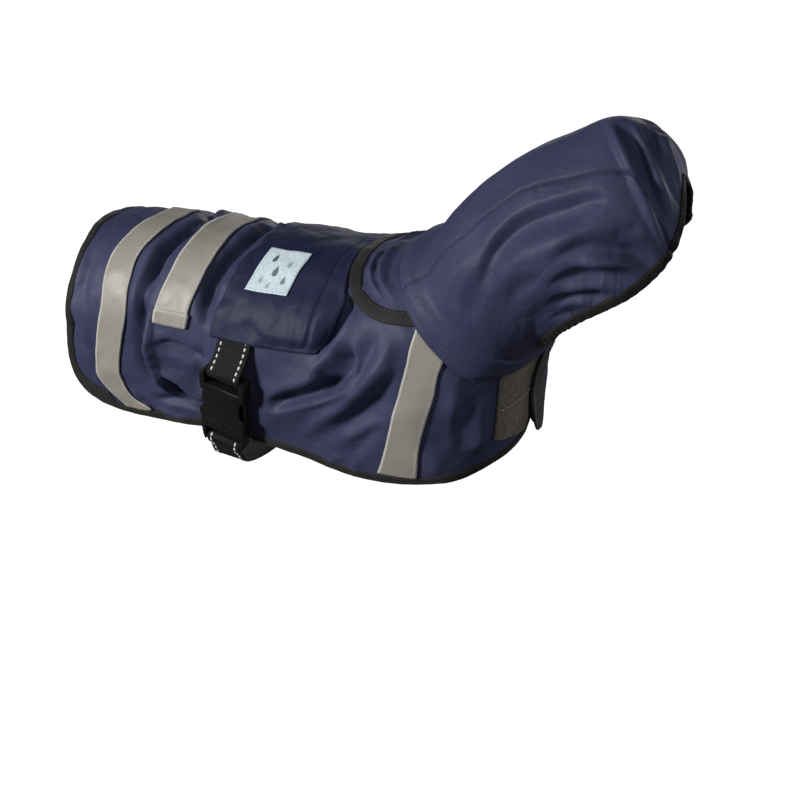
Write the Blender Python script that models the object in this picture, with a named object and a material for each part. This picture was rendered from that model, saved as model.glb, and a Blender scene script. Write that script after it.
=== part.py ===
"""Dog raincoat, held in its worn and hollow form.

+X is the dog's forward direction, +Y its left, +Z up. The origin is the inner face of the coat
at the spine, under the middle of the saddle panel. Sizes are millimetres until a mesh is made.

The coat is drafted as a pattern on two sheets. On the body sheet, s runs forward along the spine
from the tail edge and w is the distance round the cloth from the spine, plus on the dog's right.
On the hood sheet, h runs from the neck seam to the face edge and a is the share of the way
round from the crown to the throat. Each piece is a wall between two lifts off its sheet.
"""
import bpy
import bmesh
import numpy as np
from mathutils import Matrix

MM = 0.001
CLOTH = 1.2             # wall of the coat and the hood
TAPE = 1.0              # reflective tape and label
WEBBING = 1.5
WEBBING_WIDTH = 25.0
TRIM = 2.2              # folded binding
HEM_BINDING_WIDTH = 7.5
FLAP_BINDING_WIDTH = 9.0
FACE_BINDING_WIDTH = 6.5
SEAM = 0.4              # space left between neighbouring pieces
LAYER = 0.6             # space left between a piece and what it lies on
FRONT_GAP = 0.5         # half the gap between the two fronts
TOP = CLOTH / 2         # lift of the coat's outer face


def columns(names, rows):
    """A short table as {column name: values down the rows}."""
    return dict(zip(names.split(), np.array(rows, float).T))


def smooth(x, xs, ys):
    """Smooth curve through (xs, ys) that never overshoots its points."""
    xs, ys = np.asarray(xs, float), np.asarray(ys, float)
    step = np.diff(xs)
    rise = np.diff(ys) / step
    slope = np.zeros(len(xs))
    slope[0], slope[-1] = rise[0], rise[-1]
    for i in range(1, len(xs) - 1):
        if rise[i - 1] * rise[i] > 0:
            before, after = 2 * step[i] + step[i - 1], step[i] + 2 * step[i - 1]
            slope[i] = (before + after) / (before / rise[i - 1] + after / rise[i])
    x = np.clip(x, xs[0], xs[-1])
    i = np.clip(np.searchsorted(xs, x) - 1, 0, len(step) - 1)
    t = (x - xs[i]) / step[i]
    return ((1 + 2 * t) * (1 - t) ** 2 * ys[i] + t * (1 - t) ** 2 * step[i] * slope[i]
            + t * t * (3 - 2 * t) * ys[i + 1] + t * t * (t - 1) * step[i] * slope[i + 1])


def ease(x):
    """0 to 1, level at both ends."""
    x = np.clip(x, 0, 1)
    return x * x * (3 - 2 * x)


def run_along(points):
    """Distance along a line of points."""
    return np.concatenate([[0], np.cumsum(np.linalg.norm(np.diff(points, axis=0), axis=1))])


def unit(v):
    return v / np.linalg.norm(v, axis=-1, keepdims=True)


def ring_half(x, z, tilt, half_width, crown, depth, point=1.0, bow=0.0):
    """Right half of a ring round the body, from the spine down to its lowest point.

    The ring lies in a plane whose foot is swung forward by tilt degrees. It widens over the
    crown to half_width and closes at depth. A point over 1 narrows the crown to an arch, and
    bow pushes the ring's upper sides forward.
    """
    turn = np.linspace(0, np.pi / 2, 60)
    over = half_width * np.sin(turn) ** point, crown * (1 - np.cos(turn) ** point)
    under = (half_width * np.cos(turn[1:]) ** (1 / 1.2),
             crown + (depth - crown) * np.sin(turn[1:]) ** (1 / 1.2))
    out, down = np.concatenate([over[0], under[0]]), np.concatenate([over[1], under[1]])
    swing = np.radians(tilt)
    forward = bow * np.sin(np.pi * np.clip(down / depth, 0, 1) ** 0.45) ** 2
    return np.stack([x + down * np.sin(swing) + forward * np.cos(swing), -out,
                     z - down * np.cos(swing) + forward * np.sin(swing)], -1)


class Sheet:
    """Cloth kept as a fine net of points over two coordinates p and q, with its outward side."""

    def __init__(self, p, q, net):
        self.p, self.q, self.net = p, q, net
        along = np.gradient(net, p, axis=0)
        across = np.gradient(net, q, axis=1)
        self.out = unit(np.cross(across, along))

    def read(self, field, p, q):
        p, q = np.broadcast_arrays(np.asarray(p, float), np.asarray(q, float))
        i = np.clip((p - self.p[0]) / (self.p[1] - self.p[0]), 0, len(self.p) - 1.0001)
        j = np.clip((q - self.q[0]) / (self.q[1] - self.q[0]), 0, len(self.q) - 1.0001)
        i0, j0 = i.astype(int), j.astype(int)
        fi, fj = (i - i0)[..., None], (j - j0)[..., None]
        return ((1 - fi) * (1 - fj) * field[i0, j0] + fi * (1 - fj) * field[i0 + 1, j0]
                + (1 - fi) * fj * field[i0, j0 + 1] + fi * fj * field[i0 + 1, j0 + 1])

    def at(self, p, q, lift=0.0):
        out = unit(self.read(self.out, p, q))
        return self.read(self.net, p, q) + out * np.asarray(lift, float)[..., None]

    def inset(self, path, distance):
        """A path of (p, q) pairs moved sideways on the sheet, to the left of its run."""
        step = 0.5 * np.array([self.p[1] - self.p[0], self.q[1] - self.q[0]])
        p, q = path.T
        dp = (self.read(self.net, p + step[0], q) - self.read(self.net, p - step[0], q)) / (2 * step[0])
        dq = (self.read(self.net, p, q + step[1]) - self.read(self.net, p, q - step[1])) / (2 * step[1])
        way = np.gradient(path, axis=0)
        way = unit(dp * way[:, :1] + dq * way[:, 1:])
        side = unit(np.cross(unit(self.read(self.out, p, q)), way))
        moved = []
        for k in range(len(path)):
            frame = np.stack([dp[k], dq[k]], 1)
            moved.append(path[k] + np.linalg.lstsq(frame, side[k] * distance, rcond=None)[0])
        return np.array(moved)


# ------------------------------------------------------------------ meshes and materials

def material(name, rgb, roughness, metallic=0.0):
    made = bpy.data.materials.get(name) or bpy.data.materials.new(name)
    made.use_nodes = True
    surface = made.node_tree.nodes["Principled BSDF"]
    surface.inputs["Base Color"].default_value = (*rgb, 1.0)
    surface.inputs["Roughness"].default_value = roughness
    surface.inputs["Metallic"].default_value = metallic
    return made


def add_object(name, verts, faces, surface):
    mesh = bpy.data.meshes.new(name)
    mesh.from_pydata([tuple(v) for v in verts], [], faces)
    body = bmesh.new()
    body.from_mesh(mesh)
    bmesh.ops.recalc_face_normals(body, faces=body.faces)
    body.to_mesh(mesh)
    body.free()
    mesh.shade_smooth()
    mesh.set_sharp_from_angle(angle=np.radians(40))
    mesh.materials.append(surface)
    made = bpy.data.objects.new(name, mesh)
    bpy.context.scene.collection.objects.link(made)
    return made


def slab(name, inner, outer, surface):
    """Closed wall between two grids of points, with a rim all round."""
    n, m = inner.shape[:2]
    verts = np.concatenate([inner.reshape(-1, 3), outer.reshape(-1, 3)]) * MM
    low = np.arange(n * m).reshape(n, m)
    high = low + n * m
    faces = []
    for i in range(n - 1):
        for j in range(m - 1):
            faces.append((low[i, j], low[i, j + 1], low[i + 1, j + 1], low[i + 1, j]))
            faces.append((high[i, j], high[i + 1, j], high[i + 1, j + 1], high[i, j + 1]))
    rim = ([(0, j) for j in range(m)] + [(i, m - 1) for i in range(1, n)]
           + [(n - 1, j) for j in range(m - 2, -1, -1)] + [(i, 0) for i in range(n - 2, 0, -1)])
    for here, there in zip(rim, rim[1:] + rim[:1]):
        faces.append((low[here], high[here], high[there], low[there]))
    return add_object(name, verts, [tuple(int(v) for v in f) for f in faces], surface)


def wall(name, sheet, p, q, low, thick, surface):
    """A piece of cloth on a sheet: its inner face at lift low, its outer face thick above."""
    return slab(name, sheet.at(p, q, low), sheet.at(p, q, np.asarray(low) + thick), surface)


def strip(name, sheet, edge, inner_edge, low, thick, surface):
    """A narrow band between two paths on a sheet."""
    path = np.stack([edge, inner_edge], 1)
    return wall(name, sheet, path[..., 0], path[..., 1], low, thick, surface)


# ------------------------------------------------------------------ body sheet

# Rings round the barrel, from the tail edge to the neck seam.
BARREL = columns("spine_x spine_z tilt half_width crown depth", [
    [-162, -23.4, -3, 54, 50, 190],
    [-110, -10.4, -2, 61, 56, 177],
    [-50, -3.4, 0, 62, 58, 179],
    [0, 0.6, 8, 64, 60, 197],
    [28, 3.6, 20, 67, 62, 205],
    [52, 8.6, 33, 67, 60, 185],
    [60, 10.6, 38, 66, 57, 153],
    [66, 12.4, 42, 64, 54, 139.4],
    [70, 13.8, 45.5, 62, 52, 127],
    [74, 15.5, 50, 60, 51, 113],
    [79, 17.6, 56, 56, 50, 102],
    [84, 20, 64.6, 52, 48, 94.6],
])
SPINE_RUN = run_along(np.stack([BARREL["spine_x"], BARREL["spine_z"]], -1))
NECK = SPINE_RUN[-1]
REACH = 275.0

# Folds of the worn cloth: a line from (s0, w0) to (s1, w1), half its breadth, and its height.
FOLDS = columns("s0 w0 s1 w1 breadth height", [
    [152, 138, 214, 92, 14, 2.6],
    [172, 151, 218, 112, 13, -2.2],
    [192, 88, 214, 52, 11, -1.6],
    [74, 88, 88, 132, 12, 1.8],
    [70, 64, 81, 14, 11, -1.5],
    [120, 22, 118, 66, 11, -1.5],
    [18, 76, 24, 130, 11, 1.4],
    [154, -128, 212, -100, 14, 2.4],
    [170, -149, 218, -120, 13, -2.0],
    [72, -86, 90, -128, 12, 1.8],
    [69, -56, 80, -12, 11, -1.5],
    [119, -20, 120, -68, 11, -1.5],
    [20, -70, 25, -126, 11, 1.4],
])


def fold_height(s, w):
    """Height of the folds over the smooth barrel."""
    total = np.zeros(np.broadcast(s, w).shape)
    for s0, w0, s1, w1, breadth, height in zip(*FOLDS.values()):
        length = np.hypot(s1 - s0, w1 - w0)
        along = ((s - s0) * (s1 - s0) + (w - w0) * (w1 - w0)) / length ** 2
        beside = ((s - s0) * (w1 - w0) - (w - w0) * (s1 - s0)) / length
        beside = beside - 0.06 * length * np.sin(np.pi * np.clip(along, 0, 1))
        ends = ease((along + 0.25) / 0.45) * ease((1.25 - along) / 0.45)
        total += height * ends * np.cos(np.pi / 2 * np.clip(beside / breadth, -1, 1)) ** 2
    return total


def body_sheet():
    stations = np.linspace(0, NECK, 254)
    rows = [smooth(stations, SPINE_RUN, BARREL[k]) for k in BARREL]
    around = np.linspace(-REACH, REACH, 551)
    net, lengths = [], []
    for values in zip(*rows):
        right = ring_half(*values)
        run = run_along(right)
        length = run[-1]
        lengths.append(length)
        w = (around + length) % (2 * length) - length
        point = np.stack([np.interp(np.abs(w), run, right[:, k]) for k in range(3)], -1)
        point[:, 1] *= np.where(w < 0, -1, 1)
        net.append(point)
    plain = Sheet(stations, around, np.array(net))
    lifted = plain.net + plain.out * fold_height(stations[:, None], around[None, :])[..., None]
    return Sheet(stations, around, lifted), stations, np.array(lengths)


BODY, RING_STATIONS, RING_LENGTHS = body_sheet()


def front_line(s):
    """w of the right front's edge, just short of the middle of the chest."""
    return np.interp(s, RING_STATIONS, RING_LENGTHS) - FRONT_GAP


# The cut edge of the right half, from the tail at the spine to the front's lower corner.
CUT_EDGE = columns("s w", [
    [0, 0], [0.9, 12], [4.2, 30], [6, 56], [5.6, 84], [6.2, 113], [9.5, 130], [18, 147], [37, 160],
    [63, 165], [87, 164], [112, 160.5], [130, 159], [150, 159], [169.5, 162], [188, 171],
    [204.5, 177.5], [219, 183], [226, 193.5], [230, 203],
])
# The rounded corner and the front's edge: s, and the distance back from the middle of the chest.
FRONT_EDGE = columns("s back", [
    [231.6, 6.5], [233.2, 2.0], [235.6, 0.3], [239, 0], [243, 0], [248, 0], [NECK, 0],
])


def edge_path():
    """The right half's cut edge as a fine path from the spine to the throat."""
    knots = np.concatenate([
        np.stack([CUT_EDGE["s"], CUT_EDGE["w"]], -1),
        np.stack([FRONT_EDGE["s"], front_line(FRONT_EDGE["s"]) - FRONT_EDGE["back"]], -1)])
    run = run_along(BODY.at(*knots.T))
    fine = np.linspace(0, run[-1], 1500)
    path = np.stack([smooth(fine, run, knots[:, k]) for k in range(2)], -1)
    return path, run_along(BODY.at(*path.T))


EDGE, EDGE_RUN = edge_path()
REAR_CORNER = EDGE_RUN[np.argmin(np.abs(EDGE[:, 0] - 20) + (EDGE[:, 1] < 100) * 1e3)]
SIDE_CUTS = 20          # squares from the spine down to the rear corner
HEM_CUTS = 38           # squares from the rear corner along the hem and up the front
STATIONS = np.concatenate([np.linspace(0, REAR_CORNER, SIDE_CUTS + 1),
                           np.linspace(REAR_CORNER, EDGE_RUN[-1], HEM_CUTS + 1)[1:]])


def inset_edge(distance):
    """The right half's cut edge moved in by a distance, square to the spine where it meets it."""
    over = 12
    path = np.concatenate([(EDGE * [1, -1])[over:0:-1], EDGE])
    moved = BODY.inset(path, distance)[over:]
    moved[0, 1] = 0
    return moved


def edge_at(inset=0.0):
    """(s, w) of the edge at the shared stations, moved in by a distance."""
    path = EDGE if not inset else inset_edge(inset)
    return np.stack([np.interp(STATIONS, EDGE_RUN, path[:, k]) for k in range(2)], -1)


def both_sides(path):
    """The right half's path continued over the spine to the left half, left end first."""
    return np.concatenate([(path * [1, -1])[:0:-1], path])


# Where each point of the hem and front is joined to the spine by a thread of the cloth.
THREADS = columns("edge_s spine_s", [[20, 0], [60, 57], [112, 110], [150, 145], [188, 171], [204, 184],
                                     [219, 200], [230, 213], [NECK, NECK]])


def body_panel(surface):
    cut = edge_at(HEM_BINDING_WIDTH + SEAM)
    rear, hem = cut[:SIDE_CUTS + 1], cut[SIDE_CUTS:]
    start = rear[0, 0]
    corner_s = THREADS["edge_s"][1:-1]
    edge_run = STATIONS[SIDE_CUTS:] - REAR_CORNER
    hem_only = edge_at()[SIDE_CUTS:, 0]
    known = [edge_run[np.argmin(np.abs(hem_only - s))] for s in corner_s]
    spine = smooth(edge_run, [0, *known, edge_run[-1]], [start, *THREADS["spine_s"][1:-1], NECK])
    share = np.linspace(0, 1, SIDE_CUTS + 1)
    share = share * (1.35 - 0.35 * share)
    top = np.stack([spine, np.zeros(len(spine))], -1)
    grid = top[:, None] * (1 - share)[None, :, None] + hem[:, None] * share[None, :, None]
    bend = rear - grid[0]
    grid = grid + bend[None] * (1 - ease((spine - start) / 60))[:, None, None]
    grid[:, 0, 1] = 0
    grid = np.concatenate([(grid * [1, -1])[:, :0:-1], grid], 1)
    return wall("body_panel", BODY, grid[..., 0], grid[..., 1], -TOP, CLOTH, surface)


def hem_binding(surface):
    edge, inner = both_sides(edge_at()), both_sides(edge_at(HEM_BINDING_WIDTH))
    return strip("hem_binding", BODY, edge, inner, -TRIM / 2, TRIM, surface)


def span(start, end, count):
    return np.linspace(start, end, count)


# ------------------------------------------------------------------ what is sewn on the body

def inner_hem(s, margin=HEM_BINDING_WIDTH + SEAM):
    """w where a piece that runs down to the hem binding stops."""
    path = inset_edge(margin)
    lower = path[(EDGE_RUN > REAR_CORNER)]
    return np.interp(s, lower[:, 0], lower[:, 1])


LYING = TOP + LAYER     # lift of a flat piece that lies on the coat

# Middle line of the tape over the rump.
REAR_TAPE = columns("w s", [
    [0, 53], [20, 50.5], [44, 46.2], [58, 48], [76, 50.5], [100, 46.5], [125, 43.5], [160, 47]])
REAR_TAPE_WIDTH = 21.0
SHORT_TAPE = columns("w s", [[0, 98.5], [20, 99.5], [50, 97.5], [84, 93.5]])
SHORT_TAPE_WIDTH = 24.0
SHORT_TAPE_DROP = 82.0
FOLDED_END = 9.0        # the tape's lower end is turned under and sewn
FOLDED_TAPE = 1.9


def rear_tape(surface):
    reach = inner_hem(48.0) - 1.5
    w = span(-reach, reach, 45)[:, None]
    s = smooth(np.abs(w), REAR_TAPE["w"], REAR_TAPE["s"]) + REAR_TAPE_WIDTH * span(-0.5, 0.5, 4)[None, :]
    w = np.broadcast_to(w, s.shape)
    w = np.sign(w) * np.minimum(np.abs(w), inner_hem(s))
    return wall("rear_tape", BODY, s, w, LYING, TAPE, surface)


def short_tape(surface):
    fold = SHORT_TAPE_DROP - FOLDED_END
    ends = [fold - 1, fold, fold + FOLDED_END / 2, SHORT_TAPE_DROP]
    down = np.concatenate([span(0, ends[0], 11)[:-1], ends])
    w = np.concatenate([-down[:0:-1], down])[:, None]
    s = smooth(np.abs(w), SHORT_TAPE["w"], SHORT_TAPE["s"]) + SHORT_TAPE_WIDTH * span(-0.5, 0.5, 4)[None, :]
    thick = np.where(np.abs(w) >= fold, FOLDED_TAPE, TAPE)
    return wall("short_tape", BODY, s, np.broadcast_to(w, s.shape), LYING, thick, surface)


# Left and right edges of the tape down a front, from the hood to the hem.
FRONT_TAPE = columns("rear_s rear_w fore_s fore_w", [
    [246.5, 66, 249.5, 88], [244.1, 71, 243.5, 97], [232.5, 95, 233.5, 119], [215.1, 129, 221, 144.5],
    [199.6, 166, 211, 173],
])


def front_tape(name, side, surface):
    table = FRONT_TAPE
    down = np.array([0, 0.08, 0.3, 0.65, 1.0])
    t = span(0, 1, 18)
    rear = np.stack([smooth(t, down, table["rear_s"]), smooth(t, down, table["rear_w"])], -1)
    fore = np.stack([smooth(t, down, table["fore_s"]), smooth(t, down, table["fore_w"])], -1)
    share = span(0, 1, 4)[None, :, None]
    grid = rear[:, None] * (1 - share) + fore[:, None] * share
    s, w = grid[..., 0], np.minimum(grid[..., 1], inner_hem(grid[..., 0]))
    return wall(name, BODY, s, side * w, LYING, TAPE, surface)


BELT = columns("w s", [[64, 143.8], [82, 143], [108, 138.5], [129, 136], [160, 133]])


def belt_middle(w):
    return smooth(np.abs(w), BELT["w"], BELT["s"])


# The saddle panel: its rear and front edges by distance from the spine, and its puff.
SADDLE = columns("w rear_s front_s", [
    [0, 134.5, 206], [16, 135, 206.5], [34, 132, 208.6], [43, 131.3, 209.5], [54, 130.4, 206],
    [68, 128.5, 199.5], [82, 127, 191.5]])
SADDLE_DROP = 82.0
SADDLE_PUFF = 2.5
SADDLE_HEM = 11.0


def saddle_lift(s, w):
    """Lift of the saddle's inner face: sewn down at its edges, raised over the belt's ends."""
    away = np.abs(w)
    rear, front = (smooth(away, SADDLE["w"], SADDLE[k]) for k in ("rear_s", "front_s"))
    inside = ease((s - rear) / SADDLE_HEM) * ease((front - s) / SADDLE_HEM) * ease((SADDLE_DROP - away) / 9)
    mouth = ease((away - 56) / 10) * (1 - ease((np.abs(s - belt_middle(away)) - 13.5) / 8))
    return LYING + SADDLE_PUFF * (1 - (1 - inside) * (1 - mouth))


def saddle_panel(surface):
    w = span(-SADDLE_DROP, SADDLE_DROP, 25)[:, None]
    away = np.abs(w)
    rear, front = (smooth(away, SADDLE["w"], SADDLE[k]) for k in ("rear_s", "front_s"))
    s = rear + (front - rear) * span(0, 1, 12)[None, :]
    w = np.broadcast_to(w, s.shape)
    return wall("saddle_panel", BODY, s, w, saddle_lift(s, w), CLOTH, surface)


LABEL = columns("s w", [[147.5, 18], [176.5, 16.5], [172.8, 49], [143.8, 50]])


def label_patch(surface):
    corner = np.stack([LABEL["s"], LABEL["w"]], -1)
    u, v = span(0, 1, 5)[:, None, None], span(0, 1, 6)[None, :, None]
    grid = ((corner[0] * (1 - u) + corner[1] * u) * (1 - v) + (corner[3] * (1 - u) + corner[2] * u) * v)
    s, w = grid[..., 0], grid[..., 1]
    return wall("label_patch", BODY, s, w, saddle_lift(s, w) + CLOTH + LAYER, TAPE, surface)


# The cape behind the hood: its outer edge on the right half, spine to hood.
CAPE = columns("s w", [
    [207, 0], [207.5, 16], [210, 33], [215, 45], [221, 53], [231, 61], [239, 65], [245.5, 68]])
# Its pleats: where each meets the binding and the neck seam, by w, with breadth and height.
PLEATS = columns("outer_w neck_w breadth height", [[10, 8, 7, 2.2], [26, 20, 7, 2.0], [43, 33, 6, 1.6]])


def cape_path(count):
    knots = np.stack([CAPE["s"], CAPE["w"]], -1)
    run = run_along(BODY.at(*knots.T))
    t = span(0, run[-1], count)
    return np.stack([smooth(t, run, knots[:, k]) for k in range(2)], -1)


def nape_flap(surface):
    path = both_sides(cape_path(14))
    inner = BODY.inset(path, FLAP_BINDING_WIDTH + SEAM)
    inner[len(inner) // 2, 1] = 0
    seam = np.stack([np.full(len(inner), NECK - 0.2), inner[:, 1] * 0.94], -1)
    share = span(0, 1, 8)[None, :, None]
    grid = inner[:, None] * (1 - share) + seam[:, None] * share
    s, w = grid[..., 0], grid[..., 1]
    rise = np.zeros(s.shape)
    for outer_w, neck_w, breadth, height in zip(*PLEATS.values()):
        middle = outer_w + (neck_w - outer_w) * share[..., 0]
        beside = np.clip((np.abs(w) - middle) / breadth, -1, 1)
        rise = rise + height * np.cos(np.pi / 2 * beside) ** 2
    rise = rise * ease((s - 208) / 12) * ease((NECK - 6 - s) / 12) * ease((62 - np.abs(w)) / 14)
    return wall("nape_flap", BODY, s, w, LYING + rise, CLOTH, surface)


def nape_flap_binding(surface):
    path = both_sides(cape_path(14))
    inner = BODY.inset(path, FLAP_BINDING_WIDTH)
    return strip("nape_flap_binding", BODY, path, inner, LYING, TRIM - 0.2, surface)


# The loop tape on the right front: corners by s and by distance back from the chest's middle.
LOOP_PATCH = columns("s w", [[247.5, 126], [233, 169.5]])
PILE = 1.4


def loop_patch(surface):
    t = span(0, 1, 9)
    rear = np.stack([LOOP_PATCH["s"][0] + (LOOP_PATCH["s"][1] - LOOP_PATCH["s"][0]) * t,
                     LOOP_PATCH["w"][0] + (LOOP_PATCH["w"][1] - LOOP_PATCH["w"][0]) * t], -1)
    margin = HEM_BINDING_WIDTH + 2 * SEAM
    inner = BODY.inset(EDGE, margin)
    last = np.argmin(np.linalg.norm((EDGE - [231.8, front_line(231.8) - 6]), axis=1))
    first = np.argmin(np.abs(EDGE[:, 0] - 249) + (EDGE_RUN < EDGE_RUN[last]) * 1e3)
    fore = np.stack([np.interp(t, [0, 1], [first, last]), t], -1)[:, 0].astype(int)
    fore = inner[fore]
    share = span(0, 1, 8)[None, :, None]
    grid = rear[:, None] * (1 - share) + fore[:, None] * share
    return wall("loop_patch", BODY, grid[..., 0], grid[..., 1], LYING, PILE, surface)


# The closing tab: rows from the throat down to its point, by s, half width and rise off its seat.
TAB = columns("s half_width rise", [
    [249.5, 9, 0], [245.5, 9.5, 0.1], [241, 9.5, 0.4], [237, 8.5, 1.6], [234, 6, 3.2], [232.4, 2.4, 4.4]])
TAB_THICK = 1.8
TAB_SEAT = TRIM / 2 + LAYER                     # it lies over the binding of both fronts
TAB_STEP = LYING + PILE + LAYER - TAB_SEAT      # and climbs on to the loop tape


def front_tab(surface):
    t = span(0, 5, 14)
    s, half_width, rise = [smooth(t, range(6), TAB[k])[:, None] for k in ("s", "half_width", "rise")]
    across = half_width * span(-1, 1, 7)[None, :]
    w = front_line(s) + FRONT_GAP + across
    low = TAB_SEAT + TAB_STEP * ease((-across - 2.5) / 4.5) + rise
    return wall("front_tab", BODY, np.broadcast_to(s, w.shape), w, low, TAB_THICK, surface)


# ------------------------------------------------------------------ hood sheet

# Rings of the hood, turning about the throat from the neck seam to the face.
HOOD = columns("top_x top_z foot_x foot_z half_width crown point bow", [
    [94, 35, 173.4, -20.7, 56, 50, 1.0, 0],
    [106, 53, 173.8, -19.8, 58, 50, 1.0, 0],
    [125, 76.5, 174.3, -18.9, 59, 50, 1.0, 2],
    [150, 101.5, 174.7, -17.9, 59, 52, 1.05, 5],
    [181, 124, 175.2, -16.9, 58, 55, 1.1, 9],
    [212, 141, 175.7, -15.8, 56, 58, 1.25, 14],
    [235, 134.5, 176.2, -14.6, 53, 60, 1.35, 20],
    [252, 110, 176.8, -13.4, 49, 58, 1.45, 24],
])
# How far the hood's lower edge lies back over the coat, and its lift over what lies there.
HOOD_LAP = columns("w back lift", [
    [0, 6, 4.4], [20, 6, 4.4], [37, 4, 4.4], [64, 5, 4.4], [84, 6, 2.9], [98, 6.5, 2.8], [112, 5, 2.8],
    [125, 3, 2.7], [140, 1.2, 2.7], [165, 0.8, 2.7]])
HOOD_AROUND = 121       # points of the sheet's net round half a ring
SEAM_LINES = columns("h a", [[0, 0.26], [0.2, 0.24], [0.4, 0.19], [0.6, 0.165], [0.8, 0.15], [1, 0.145]])
GATHERS = 8             # waves of the elastic edge on each side
BRIM_LEAN = np.array([-12.0, -3.0, -4.0])      # how the worn brim sits back on the left


def resample(line, count):
    run = run_along(line)
    t = np.linspace(0, run[-1], count)
    return np.stack([np.interp(t, run, line[:, k]) for k in range(3)], -1)


def hood_sheet():
    """Rows of the hood from its lapped lower edge to the face, read as one smooth sheet."""
    rows = []
    length = front_line(NECK)
    share = np.linspace(0, 1, 240)
    back = smooth(share * length, HOOD_LAP["w"], HOOD_LAP["back"])
    lift = smooth(share * length, HOOD_LAP["w"], HOOD_LAP["lift"]) + TOP
    swell = 1 - 0.8 * ease((share * length - 105) / 50)
    for part_back, rise in ((1.0, 0.0), (0.5, 1.2), (0.05, 2.6)):
        s = NECK - back * part_back
        rows.append(resample(BODY.at(s, share * front_line(s), lift + rise * swell), HOOD_AROUND))
    for top_x, top_z, foot_x, foot_z, *shape in zip(*HOOD.values()):
        tilt = np.degrees(np.arctan2(foot_x - top_x, top_z - foot_z))
        depth = np.hypot(foot_x - top_x, top_z - foot_z)
        half_width, crown, point, bow = shape
        ring = ring_half(top_x, top_z, tilt, half_width, crown, depth, point, bow)
        rows.append(resample(ring, HOOD_AROUND))
    rows = np.array(rows)
    rows[:, 0, 1] = 0
    middle = rows[:, HOOD_AROUND // 3]
    knots = run_along(middle)
    knots = knots / knots[-1]
    h = np.linspace(0, 1, 161)
    net = np.empty((len(h), HOOD_AROUND, 3))
    for j in range(HOOD_AROUND):
        for k in range(3):
            net[:, j, k] = smooth(h, knots, rows[:, j, k])
    net = np.concatenate([(net * [1, -1, 1])[:, :0:-1], net], 1)
    a = np.linspace(-1, 1, 2 * HOOD_AROUND - 1)
    left = (ease(-a / 0.2) * ease((0.75 + a) / 0.5))[None, :, None]
    net = net + BRIM_LEAN * ease((h - 0.5) / 0.5)[:, None, None] * left
    plain = Sheet(h, a, net)
    wave = np.sin(np.pi * (2 * GATHERS * np.abs(a) + 0.3))[None, :]
    near_edge = (ease((h - 0.72) / 0.2) * (1 - 0.6 * ease((h - 0.95) / 0.05)))[:, None]
    fade = ease((0.78 - np.abs(a)) / 0.2)[None, :]
    lifted = plain.net + plain.out * (1.3 * wave * near_edge * fade)[..., None]
    return Sheet(h, a, lifted)


HOODED = hood_sheet()
HOOD_ROWS = np.concatenate([span(0, 0.1, 4)[:-1], span(0.1, 1, 14)])     # from lower edge to binding
SIDE_END = 0.9985       # where the two sides of the hood meet at the throat


def face_inset(a, distance):
    """h at which the line a lies a distance back from the face edge, along the cloth."""
    steps = np.linalg.norm(np.diff(HOODED.net[::-1], axis=0), axis=-1)
    back = np.concatenate([np.zeros((1, steps.shape[1])), np.cumsum(steps, axis=0)])
    rows = [np.interp(distance, back[:, j], HOODED.p[::-1]) for j in range(len(HOODED.q))]
    return np.interp(a, HOODED.q, rows)


def hood_panel(name, first, last, cuts, surface):
    """A panel of the hood between two lines a = first(h) and a = last(h)."""
    h = HOOD_ROWS[:, None]
    share = span(0, 1, cuts)[None, :]
    a = first(h) + (last(h) - first(h)) * share
    h = h * face_inset(a, FACE_BINDING_WIDTH + 1.5 * SEAM)
    return wall(name, HOODED, h, a, -TOP, CLOTH, surface)


def seam_line(h):
    return smooth(h, SEAM_LINES["h"], SEAM_LINES["a"])


SEAM_SHARE = 0.0014     # half the space along a seam line, as a share of the way round
SIDE_CUTS_ROUND, TOP_CUTS_ROUND = 23, 13


def hood(surface):
    hood_panel("hood_right", lambda h: seam_line(h) + SEAM_SHARE, lambda h: SIDE_END + 0 * h,
               SIDE_CUTS_ROUND, surface)
    hood_panel("hood_gusset", lambda h: -seam_line(h) + SEAM_SHARE, lambda h: seam_line(h) - SEAM_SHARE,
               TOP_CUTS_ROUND, surface)
    hood_panel("hood_left", lambda h: -SIDE_END + 0 * h, lambda h: -seam_line(h) - SEAM_SHARE,
               SIDE_CUTS_ROUND, surface)


def face_binding(surface):
    corner = seam_line(1.0)
    side = span(corner + SEAM_SHARE, SIDE_END, SIDE_CUTS_ROUND)
    top = span(-corner + SEAM_SHARE, corner - SEAM_SHARE, TOP_CUTS_ROUND)
    a = np.concatenate([-side[::-1], top[1:-1], side])
    edge = np.stack([np.ones(len(a)), a], -1)
    inner = np.stack([face_inset(a, FACE_BINDING_WIDTH), a], -1)
    return strip("face_binding", HOODED, edge, inner, -TRIM / 2, TRIM, surface)


# ------------------------------------------------------------------ belt and buckle

BUCKLE_W = 129.0        # where the buckle's middle lies on the coat
BUCKLE_LIFT = 7.2       # its middle plane off the coat
BUCKLE_WIDTH = 34.0
SOCKET_TOP, SOCKET_END = 27.0, -12.0
PLUG_END = -32.0
SOCKET_THICK, PLUG_THICK = 9.0, 8.0
BAR = 2.6
SOCKET_BAR_Y, PLUG_BAR_Y = 24.8, -29.2
LOOP = BAR * 0.7071 + 0.35 + WEBBING / 2   # radius of the webbing's middle round a bar


def buckle_frame():
    """Matrix of the buckle: X forward across it, Y up along the belt, Z outward."""
    s = belt_middle(BUCKLE_W)
    middle = BODY.at(s, BUCKLE_W, BUCKLE_LIFT)
    above, below = (BODY.at(belt_middle(w), w) for w in (BUCKLE_W - 20, BUCKLE_W + 20))
    up = unit(above - below)
    out = BODY.read(BODY.out, s, BUCKLE_W)
    across = unit(np.cross(up, out))
    out = np.cross(across, up)
    return middle, across, up, out


MIDDLE, ACROSS, UP, OUT = buckle_frame()


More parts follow.
